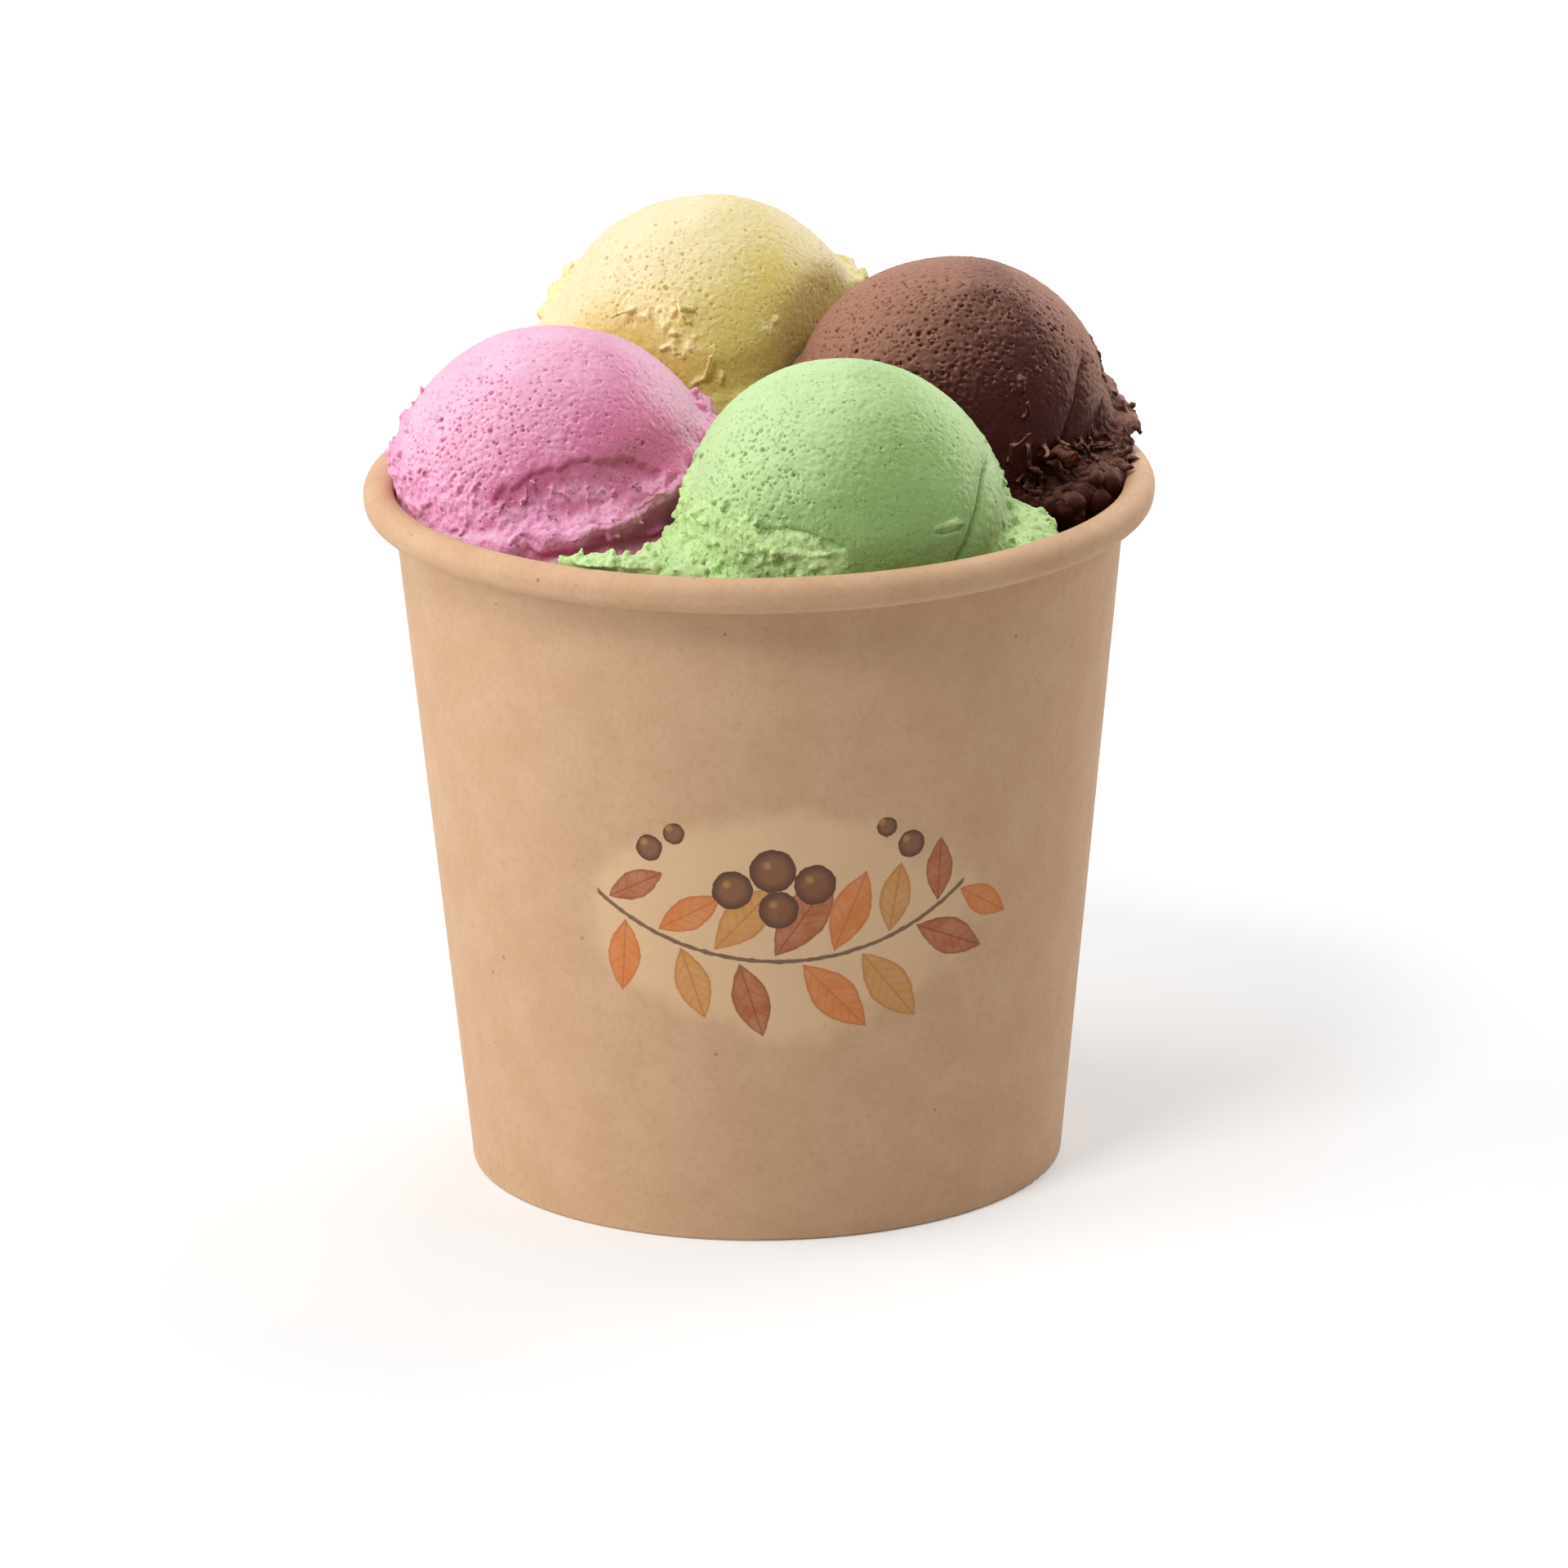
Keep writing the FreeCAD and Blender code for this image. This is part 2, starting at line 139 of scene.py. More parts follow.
def vector_calc(tree, operation, *values):
    """One step of arithmetic on vectors; a length or a dot product gives a number."""
    node = add_node(tree, "ShaderNodeVectorMath", dict(enumerate(values)), operation=operation)
    gives_number = operation in ("LENGTH", "DOT_PRODUCT", "DISTANCE")
    return node.outputs["Value" if gives_number else "Vector"]


def scaled(tree, vector, factor):
    """A vector times a number."""
    return add_node(tree, "ShaderNodeVectorMath", {0: vector, "Scale": factor},
                    operation="SCALE").outputs["Vector"]


def ramp(tree, value, low, high, start=0.0, end=1.0):
    """A smooth step from start to end while the value goes from low to high."""
    return add_node(tree, "ShaderNodeMapRange", {0: value, 1: low, 2: high, 3: start, 4: end},
                    interpolation_type="SMOOTHSTEP").outputs[0]


def elsewhere(tree, where, size, seed):
    """The place, moved by so many pattern sizes that a pattern looks like another one."""
    if seed == 0:
        return where
    return vector_calc(tree, "ADD", where, (31 * seed * size, 17 * seed * size, 0.0))


def noise(tree, where, size, detail=2.0, roughness=0.5, distortion=0.0, seed=0):
    """A noise node whose blobs are about the given size."""
    return add_node(tree, "ShaderNodeTexNoise",
                    {"Vector": elsewhere(tree, where, size, seed), "Scale": 1 / size,
                     "Detail": detail, "Roughness": roughness, "Distortion": distortion})


def cells(tree, where, size, seed=0):
    """A Voronoi node whose cells are about the given size."""
    return add_node(tree, "ShaderNodeTexVoronoi",
                    {"Vector": elsewhere(tree, where, size, seed), "Scale": 1 / size})


def blended(tree, factor, one, other):
    """Two colours mixed by a factor."""
    return add_node(tree, "ShaderNodeMix", {0: factor, 6: one, 7: other},
                    data_type="RGBA").outputs[2]


def colour(red, green, blue):
    """A colour from its values on screen, 0 to 255, as the linear values that nodes take."""
    linear = []
    for value in (red, green, blue):
        share = value / 255
        linear.append(share / 12.92 if share <= 0.04045 else ((share + 0.055) / 1.055) ** 2.4)
    return (*linear, 1.0)


def new_material(name):
    """A fresh material: itself, its tree, its shader and the object's own coordinates."""
    material = bpy.data.materials.new(name)
    material.use_nodes = True
    tree = material.node_tree
    place = add_node(tree, "ShaderNodeTexCoord").outputs
    return material, tree, tree.nodes["Principled BSDF"], place


print("a middle grey on screen is", round(colour(128, 128, 128)[0], 3), "as a linear value")

# %% [markdown]
# ## Floor, daylight and lamps
#
# The cup stands on a white table in front of white paper.  A plain white floor would come out
# light grey, so it also glows a little, but only for rays that come straight from the camera,
# or through a mirror or glass.  That way the background is white, the shadow stays, and no extra
# light reaches the ice cream.  A large low lamp on the left is the window, a small high one gives
# the shadow its direction, and three weak ones open up the dark sides.

# %% Building the studio
FLOOR_HALF = 3.0
FLOOR_WHITE = 0.70
FLOOR_GLOW = 0.28           # near the cup; further off the table fades into white paper
GLOW_FADE = (0.25, 1.0)     # metres from the cup at which it starts and ends
SKY_STRENGTH = 0.14
LAMP_DISTANCE = 1.2
LAMP_AIM = Vector((0, 0, 0.07))
LAMPS = {                   # angle round and angle up in degrees, width in metres, watts
    "window": (186, 17, 1.0, 10.2),
    "key": (240, 55, 0.30, 5.8),
    "right": (14, 32, 1.2, 3.6),
    "back": (58, 38, 1.2, 7.4),
    "top": (180, 82, 0.6, 2.8),
}


def seen_by_eye(tree):
    """1 for rays that decide what the background looks like."""
    path = add_node(tree, "ShaderNodeLightPath").outputs
    looks = calc(tree, "MAXIMUM", path["Is Camera Ray"], path["Is Glossy Ray"])
    return calc(tree, "MAXIMUM", looks, path["Is Transmission Ray"])


def studio_floor():
    """A large white table top with its shadow kept."""
    mesh = bpy.data.meshes.new("floor")
    corners = [(x, y, 0) for x, y in ((-1, -1), (1, -1), (1, 1), (-1, 1))]
    mesh.from_pydata([Vector(c) * FLOOR_HALF for c in corners], [], [(0, 1, 2, 3)])
    material, tree, shader, place = new_material("table_white")
    fade = ramp(tree, vector_calc(tree, "LENGTH", place["Object"]), *GLOW_FADE, FLOOR_GLOW, 1.0)
    fill(tree, shader, {"Base Color": (FLOOR_WHITE, FLOOR_WHITE, FLOOR_WHITE, 1),
                        "Roughness": 0.9, "Specular IOR Level": 0.1,
                        "Emission Color": (1, 1, 1, 1),
                        "Emission Strength": calc(tree, "MULTIPLY", seen_by_eye(tree), fade)})
    mesh.materials.append(material)
    floor = bpy.data.objects.new("floor", mesh)
    bpy.context.scene.collection.objects.link(floor)


def studio_sky():
    """White all round for the eye, and a soft even light for everything else."""
    world = bpy.data.worlds.new("daylight")
    world.use_nodes = True
    tree = world.node_tree
    strength = ramp(tree, seen_by_eye(tree), 0.0, 1.0, SKY_STRENGTH, 1.0)
    fill(tree, tree.nodes["Background"], {"Color": (1, 1, 1, 1), "Strength": strength})
    bpy.context.scene.world = world


def soft_lamp(name, around, up, size, power):
    """A square lamp that looks at the cup."""
    lamp = bpy.data.lights.new(name, "AREA")
    lamp.size = size
    lamp.energy = power
    a, e = math.radians(around), math.radians(up)
    off = Vector((math.cos(e) * math.cos(a), math.cos(e) * math.sin(a), math.sin(e)))
    holder = bpy.data.objects.new(name, lamp)
    holder.location = LAMP_AIM + off * LAMP_DISTANCE
    holder.rotation_euler = (-off).to_track_quat("-Z", "Y").to_euler()
    bpy.context.scene.collection.objects.link(holder)


studio_floor()
studio_sky()
for name, settings in LAMPS.items():
    soft_lamp(name, *settings)
print("floor, sky and", len(LAMPS), "lamps")

# %% [markdown]
# ## Kraft board
#
# Kraft board is brown paper with its fibres showing: clouds of slightly lighter and darker pulp,
# short curly fibres, and a few dark specks.  The clouds are a soft noise.  A fibre is where
# another noise passes through one value, which draws a thin wandering line, and a third noise
# breaks the lines into short lengths.  The pattern runs through without a seam of its own,
# because it all reads the object's own coordinates.

# %% The board's own finish
KRAFT = colour(206, 165, 128)
KRAFT_PALE = colour(214, 175, 139)
KRAFT_DEEP = colour(192, 150, 113)
FIBRE_DARK = colour(132, 92, 62)


def fibres(tree, where, size, width, share, seed):
    """Thin broken lines: 1 on a fibre."""
    field = noise(tree, where, size, detail=1.0, distortion=1.5, seed=seed).outputs[0]
    off = calc(tree, "ABSOLUTE", calc(tree, "SUBTRACT", field, 0.5))
    line = ramp(tree, off, 0.0, width, 1.0, 0.0)
    here = noise(tree, where, size * 0.9, detail=1.0, seed=seed + 7).outputs[0]
    return calc(tree, "MULTIPLY", line, ramp(tree, here, 1 - share, 1.04 - share))


def board_colour(tree, where):
    """The brown of kraft board with its clouds, fibres and specks, and the fibres' height."""
    clouds = noise(tree, where, 9 * MM, detail=4.0, roughness=0.65).outputs[0]
    grain = noise(tree, where, 1.0 * MM, detail=3.0, roughness=0.7, seed=3).outputs[0]
    paint = blended(tree, ramp(tree, clouds, 0.3, 0.75), KRAFT, KRAFT_PALE)
    paint = blended(tree, calc(tree, "MULTIPLY", ramp(tree, grain, 0.42, 0.8), 0.5), paint,
                    KRAFT_DEEP)
    pale = fibres(tree, where, 4.0 * MM, 0.010, 0.50, 11)
    dark = fibres(tree, where, 3.2 * MM, 0.006, 0.38, 23)
    paint = blended(tree, calc(tree, "MULTIPLY", pale, 0.45), paint, KRAFT_PALE)
    paint = blended(tree, calc(tree, "MULTIPLY", dark, 0.40), paint, FIBRE_DARK)
    spots = cells(tree, where, 7 * MM, seed=31).outputs["Distance"]
    specks = ramp(tree, spots, 0.03, 0.05, 0.6, 0.0)
    paint = blended(tree, specks, paint, FIBRE_DARK)
    height = calc(tree, "ADD", calc(tree, "MULTIPLY", pale, 0.4), grain)
    return paint, height


def finish_board(name, decorate=None):
    """A kraft board material, with a print over it if there is one."""
    material, tree, shader, place = new_material(name)
    paint, height = board_colour(tree, place["Object"])
    if decorate:
        paint = decorate(tree, place["Object"], paint)
    bump = add_node(tree, "ShaderNodeBump", {"Strength": 0.30, "Distance": 0.06 * MM,
                                             "Height": height})
    fill(tree, shader, {"Base Color": paint, "Roughness": ramp(tree, height, 0.3, 0.9, 0.62, 0.74),
                        "Specular IOR Level": 0.35, "Normal": bump.outputs["Normal"]})
    return material


print("kraft board is", tuple(round(v, 3) for v in KRAFT))


# %% [markdown]
# ## The print on the front
#
# The front carries a small autumn spray in watercolour tones: an arched stem, oval leaves in
# russet and orange, and a few brown berries over a pale wash.  Each leaf is drawn by a formula,
# not by a picture.  A point of the wall becomes a place on flat paper: how far round the cup,
# and how high.  In a leaf's own directions the outline is a pair of arcs, and being near that
# outline, or near the middle vein, darkens the paint as drying watercolour does.  A leaf and a
# berry are each a node group, so that they are described once and used many times.

# %% A leaf and a berry as node groups
PRINT_CENTRE = (3.0, 50.5)            # round the cup and up from the table, in millimetres
RUSSET = colour(176, 92, 52)
ORANGE = colour(214, 124, 58)
OCHRE = colour(206, 146, 78)
BERRY = colour(92, 60, 44)
WASH = colour(236, 200, 156)
BERRY_SKIN = colour(128, 84, 58)
GLINT_PLACE = (-0.8, 0.9, 0.0)        # from a berry's middle, in millimetres


def paint_group(name, inputs, outputs):
    """An empty shader node group with its sockets."""
    group = bpy.data.node_groups.new(name, "ShaderNodeTree")
    for socket, kind in inputs:
        group.interface.new_socket(socket, in_out="INPUT", socket_type=kind)
    for socket in outputs:
        group.interface.new_socket(socket, in_out="OUTPUT", socket_type="NodeSocketFloat")
    return group, group.nodes.new("NodeGroupInput").outputs, group.nodes.new("NodeGroupOutput")


def leaf_group():
    """The share of paint on a leaf at a point: its whole shape, and its darker edge and veins."""
    kinds = [("Point", "NodeSocketVector"), ("Place", "NodeSocketVector"),
             ("Turn", "NodeSocketFloat"), ("Length", "NodeSocketFloat"),
             ("Width", "NodeSocketFloat"), ("Wobble", "NodeSocketFloat")]
    tree, given, result = paint_group("leaf", kinds, ("Shape", "Lines"))
    offset = vector_calc(tree, "SUBTRACT", given["Point"], given["Place"])
    turned = add_node(tree, "ShaderNodeVectorRotate", {"Vector": offset, "Angle": given["Turn"]},
                      rotation_type="Z_AXIS").outputs[0]
    own = add_node(tree, "ShaderNodeSeparateXYZ", {0: turned}).outputs
    along = calc(tree, "DIVIDE", own["X"], calc(tree, "MULTIPLY", given["Length"], 0.5))
    swell = calc(tree, "SUBTRACT", 1.0, calc(tree, "POWER", calc(tree, "ABSOLUTE", along), 1.8))
    half = calc(tree, "MULTIPLY", calc(tree, "MULTIPLY", given["Width"], 0.5), swell)
    side = calc(tree, "ABSOLUTE", own["Y"])
    inside = calc(tree, "ADD", calc(tree, "SUBTRACT", half, side), given["Wobble"])
    shape = ramp(tree, inside, 0.0, 0.16)
    edge = ramp(tree, inside, 0.10, 0.75, 0.75, 0.0)
    rib = ramp(tree, side, 0.06, 0.20, 0.9, 0.0)
    slanted = calc(tree, "SUBTRACT", own["X"], calc(tree, "MULTIPLY", side, 0.9))
    wave = calc(tree, "PINGPONG", slanted, 0.85)
    veins = ramp(tree, wave, 0.05, 0.16, 0.55, 0.0)
    lines = calc(tree, "MAXIMUM", calc(tree, "MAXIMUM", edge, rib), veins)
    fill(tree, result, {"Shape": shape, "Lines": calc(tree, "MULTIPLY", lines, shape)})
    return tree


def berry_group():
    """The share of paint on a berry at a point: its disc, its dark rim and its pale glint."""
    kinds = [("Point", "NodeSocketVector"), ("Place", "NodeSocketVector"),
             ("Radius", "NodeSocketFloat"), ("Wobble", "NodeSocketFloat")]
    tree, given, result = paint_group("berry", kinds, ("Shape", "Rim", "Glint"))
    offset = vector_calc(tree, "SUBTRACT", given["Point"], given["Place"])
    reach = calc(tree, "SUBTRACT", vector_calc(tree, "LENGTH", offset), given["Wobble"])
    share = calc(tree, "DIVIDE", reach, given["Radius"])
    shape = ramp(tree, share, 0.95, 1.0, 1.0, 0.0)
    rim = calc(tree, "MULTIPLY", ramp(tree, share, 0.45, 0.98), shape)
    from_glint = vector_calc(tree, "DISTANCE", offset, GLINT_PLACE)
    fill(tree, result, {"Shape": shape, "Rim": rim,
                        "Glint": ramp(tree, from_glint, 0.25, 0.85, 0.55, 0.0)})
    return tree


LEAF = leaf_group()
BERRY_SHAPE = berry_group()
print("print shapes:", LEAF.name, BERRY_SHAPE.name)

# %% [markdown]
# ## Where the leaves sit
#
# The stem is an arc of a large circle.  Leaves stand on it in pairs, one on each side, with the
# longest in the middle, and two sine waves make their lengths and leans a little uneven, as a
# hand would.  The berries have places of their own.

# %% Laying out the spray
STEM_CENTRE = (3.0, 92.0)        # the stem is part of a large circle about this place
STEM_RADIUS = 47.0
STEM_FROM, STEM_TO = -127.0, -53.0
PAIRS = 7
LEAF_LENGTH = 14.5
LEAF_PAINTS = (RUSSET, ORANGE, OCHRE)
BERRIES = [(-4.6, 56.4, 3.1), (1.4, 59.4, 3.5), (7.6, 57.0, 3.2), (2.2, 53.2, 3.0),
           (-17.0, 62.5, 2.1), (22.5, 62.0, 2.2), (-13.2, 65.0, 1.7), (18.6, 65.2, 1.6)]


def on_stem(degrees):
    """A place on the stem, at an angle of its circle."""
    angle = math.radians(degrees)
    return (STEM_CENTRE[0] + STEM_RADIUS * math.cos(angle),
            STEM_CENTRE[1] + STEM_RADIUS * math.sin(angle))


def spray_leaves():
    """Leaves in pairs along the stem, largest in the middle: place, turn, length, width, paint."""
    leaves = []
    for i in range(PAIRS):
        share = i / (PAIRS - 1)
        at = STEM_FROM + 4 + (STEM_TO - STEM_FROM - 8) * share
        size = 1.0 - 0.5 * abs(share - 0.5)
        for side in (-1, 1):
            length = LEAF_LENGTH * size + 1.0 * math.sin(5 * i + side)
            lean = 56 + 9 * math.cos(3 * i + side)
            x, y = on_stem(at + 2.5 * side)
            angle = math.radians(at + 90 - side * lean)
            middle = (x + math.cos(angle) * length * 0.56, y + math.sin(angle) * length * 0.56, 0)
            leaves.append((middle, angle, length, 0.46 * length,
                           LEAF_PAINTS[(i + (side > 0)) % len(LEAF_PAINTS)]))
    return leaves


print("leaves on the print:", len(spray_leaves()), "berries:", len(BERRIES))

# %% [markdown]
# ## Painting it on the wall
#
# The print is laid on in the order of a painter: a pale wash with a ragged edge, the stem, the
# leaves, and the berries on top.  Each layer is a colour mixed over what is there already.

# %% Painting the spray
WASH_HALF = (30, 18)             # half the wash's width and height, in millimetres


def paint_spray(tree, where, paint):
    """The print over the board's own colour."""
    xyz = add_node(tree, "ShaderNodeSeparateXYZ", {0: where}).outputs
    turn = calc(tree, "ARCTAN2", xyz["X"], calc(tree, "MULTIPLY", xyz["Y"], -1.0))
    level = vector_calc(tree, "MULTIPLY", where, (1.0, 1.0, 0.0))
    from_axis = vector_calc(tree, "LENGTH", level)
    round_mm = calc(tree, "DIVIDE", calc(tree, "MULTIPLY", turn, from_axis), MM)
    high_mm = calc(tree, "DIVIDE", xyz["Z"], MM)
    flat = add_node(tree, "ShaderNodeCombineXYZ", {0: round_mm, 1: high_mm}).outputs[0]
    rough_edge = noise(tree, flat, 1.3, detail=2.0).outputs[0]
    wobble = calc(tree, "MULTIPLY", calc(tree, "SUBTRACT", rough_edge, 0.5), 0.5)
    pigment = ramp(tree, noise(tree, flat, 4.0, detail=4.0, roughness=0.65).outputs[0],
                   0.3, 0.7, 0.74, 0.97)

    from_middle = vector_calc(tree, "SUBTRACT", flat, (*PRINT_CENTRE, 0.0))
    squashed = vector_calc(tree, "MULTIPLY", from_middle,
                           (1 / WASH_HALF[0], 1 / WASH_HALF[1], 0.0))
    blob = noise(tree, flat, 14.0, detail=3.0, seed=5).outputs[0]
    reach = calc(tree, "ADD", vector_calc(tree, "LENGTH", squashed),
                 calc(tree, "MULTIPLY", blob, 0.7))
    paint = blended(tree, ramp(tree, reach, 1.15, 1.42, 0.60, 0.0), paint, WASH)

    from_hub = vector_calc(tree, "DISTANCE", flat, (*STEM_CENTRE, 0.0))
    off_stem = calc(tree, "ABSOLUTE", calc(tree, "SUBTRACT", from_hub, STEM_RADIUS))
    stem = ramp(tree, calc(tree, "ADD", off_stem, wobble), 0.22, 0.40, 0.85, 0.0)
    reach_x = abs(on_stem(STEM_TO)[0] - on_stem(STEM_FROM)[0]) / 2
    stem_middle = (on_stem(STEM_TO)[0] + on_stem(STEM_FROM)[0]) / 2
    sideways = calc(tree, "ABSOLUTE", calc(tree, "SUBTRACT", round_mm, stem_middle))
    stem = calc(tree, "MULTIPLY", stem, ramp(tree, sideways, reach_x, reach_x + 0.5, 1.0, 0.0))
    below_hub = ramp(tree, high_mm, STEM_CENTRE[1] - 10, STEM_CENTRE[1], 1.0, 0.0)
    paint = blended(tree, calc(tree, "MULTIPLY", stem, below_hub), paint, BERRY)

    for place, angle, length, width, hue in spray_leaves():
        leaf = add_node(tree, "ShaderNodeGroup",
                        {"Point": flat, "Wobble": wobble, "Place": place, "Turn": -angle,
                         "Length": length, "Width": width}, node_tree=LEAF)
        cover = calc(tree, "MULTIPLY", leaf.outputs["Shape"], pigment)
        paint = blended(tree, cover, paint, hue)
        deep = calc(tree, "MULTIPLY", leaf.outputs["Lines"], 0.6)
        paint = blended(tree, deep, paint, RUSSET if hue != RUSSET else BERRY)

    for x, y, radius in BERRIES:
        berry = add_node(tree, "ShaderNodeGroup",
                         {"Point": flat, "Wobble": wobble, "Place": (x, y, 0),
                          "Radius": radius}, node_tree=BERRY_SHAPE)
        cover = calc(tree, "MULTIPLY", berry.outputs["Shape"], 0.95)
        paint = blended(tree, cover, paint, BERRY_SKIN)
        paint = blended(tree, berry.outputs["Rim"], paint, BERRY)
        paint = blended(tree, berry.outputs["Glint"], paint, OCHRE)
    return paint


# %% [markdown]
# ## The tub gets its finish
#
# The tub's two pieces are measured, rigid parts, so their meshes stay as they are and only their
# material slots are filled.

# %% Dressing the tub
def dress(node, material):
    """Gives a carried-over piece its finish."""
    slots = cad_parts[node].data.materials
    slots.clear()
    slots.append(material)


dress("cup_wall", finish_board("kraft_board_printed", paint_spray))
dress("cup_base", finish_board("kraft_board"))
print("the tub's materials:", [m.name for m in bpy.data.materials if m.name.startswith("kraft")])

# %% [markdown]
# ## The colour of ice cream
#
# Ice cream is neither shiny nor chalky: light goes a little way in and comes out again, so the
# shader has some subsurface scattering, and a low, soft gloss.  Where a pore dips into the skin
# the colour is painted deeper, as shade in the hollow, and where the surface is torn it has a
# colour of its own.  Those two things are stored on the mesh as attributes by the steps that shape
# it, so paint and shape agree.
#
# The skin is also paler on some sides and deeper in colour on the others.  That is partly dry frost
# and partly painted light: the sides that face the upper left, the right-back and the back are
# painted pale as if lit, and the others keep the deeper main colour as painted shade.  The material
# tells them apart by the way the skin faces, in the object's own space, so the paint stays put when
# the object is turned.  This is a choice for looks: it strengthens the modelling of a dome lit from
# the upper left, and under quite another light those sides are still pale.

# %% Ice cream material
FROST_AND_LIGHT_SIDES = (((-0.60, 0.0, 0.80), 0.2, 1.0), ((0.80, 0.30, 0.52), 0.5, 0.95),
                 ((0.0, 0.95, 0.30), 0.1, 0.9))     # pale as frost and painted light facing these ways, from, to
STREAK_SIZE = 7 * MM
GRAIN_SIZE = 0.45 * MM
DOT_SIZE = 0.75 * MM


def finish_ice_cream(name, main, pale, deep, torn, frost=0.35, sheen=0.5):
    """A material that reads where the skin is pored and where it is torn."""
    material, tree, shader, place = new_material(name)
    where, faces = place["Object"], place["Normal"]
    pit = add_node(tree, "ShaderNodeAttribute", attribute_name="pit").outputs["Fac"]
    crumb = add_node(tree, "ShaderNodeAttribute", attribute_name="crumb").outputs["Fac"]
    streaks = noise(tree, where, STREAK_SIZE, detail=5.0, roughness=0.65, distortion=0.6).outputs[0]
    grain = noise(tree, where, GRAIN_SIZE, detail=3.0, roughness=0.65, seed=2).outputs[0]
    dots = cells(tree, where, DOT_SIZE, seed=5).outputs
    size = add_node(tree, "ShaderNodeSeparateXYZ", {0: dots["Color"]}).outputs["X"]
    dot = ramp(tree, calc(tree, "DIVIDE", dots["Distance"], size), 0.18, 0.42, 1.0, 0.0)
    # Painted light and frost: skin facing these ways gets the pale colour, and the rest keeps the
    # main colour as painted shade.
    frost_and_light = 0.0
    for side, low, high in FROST_AND_LIGHT_SIDES:
        toward = ramp(tree, vector_calc(tree, "DOT_PRODUCT", faces, side), low, high)
        frost_and_light = calc(tree, "MAXIMUM", frost_and_light, toward)
    frost_light_and_streaks = calc(tree, "ADD", frost_and_light, ramp(tree, streaks, 0.3, 0.7, -0.3 * frost, 0.3 * frost))
    paint = blended(tree, frost_light_and_streaks, main, pale)
    fresh = calc(tree, "MULTIPLY", crumb, ramp(tree, frost_and_light, 0.0, 1.0, 0.85, 0.6))
    paint = blended(tree, fresh, paint, torn)
    crystals = calc(tree, "MULTIPLY", ramp(tree, grain, 0.54, 0.68),
                    ramp(tree, crumb, 0.0, 1.0, 0.5 * frost, 1.6 * frost))
    paint = blended(tree, crystals, paint, pale)
    # Painted shade: the small dots and the pores are darkened with the deep colour, as shade in
    # these hollows.
    paint = blended(tree, calc(tree, "MULTIPLY", dot, 0.35), paint, deep)
    paint = blended(tree, calc(tree, "MULTIPLY", pit, 0.65), paint, deep)
    height = calc(tree, "SUBTRACT", grain, calc(tree, "MULTIPLY", dot, 0.5))
    bump = add_node(tree, "ShaderNodeBump", {"Strength": 0.9, "Distance": 0.22 * MM,
                                             "Height": height})
    fill(tree, shader, {"Base Color": paint, "Roughness": 0.55, "Specular IOR Level": 0.12,
                        "Subsurface Weight": 0.25, "Subsurface Radius": (1.0, 0.6, 0.45),
                        "Subsurface Scale": 1.2 * MM, "Sheen Weight": sheen,
                        "Sheen Roughness": 0.5, "Sheen Tint": pale,
                        "Normal": bump.outputs["Normal"]})
    return material


print("skin is pale on", len(FROST_AND_LIGHT_SIDES), "sides")

# %% [markdown]
# ## How a scoop gets its skin
#
# A scoop's measured solid is smooth.  The real one has a few things more, and each is described
# by where it sits on the dome, as a direction from the dome's middle: an angle round from the
# cup's right-hand side, and an angle up.
#
# * *crumbly* patches, where the ice cream tore into lumps and flakes,
# * *pored* patches, where small air pockets show,
# * *sweeps*, the grooves that the scoop's blade and edge left,
# * *hollows*, where a flake was lifted off and left a step,
# * *fills*, where ice cream was pressed out against the tub,
# * a *ridge*, where the skirt was pressed up along the rim,
# * *lumps*, loose bits of ice cream, by their place and half size in millimetres,
# * *shaggy* patches, where curls and shards stand off.
#
# A patch is an ellipse on the dome with a soft, uneven edge: its place, half its width and
# height and its turn, all in degrees, and its strength or depth.

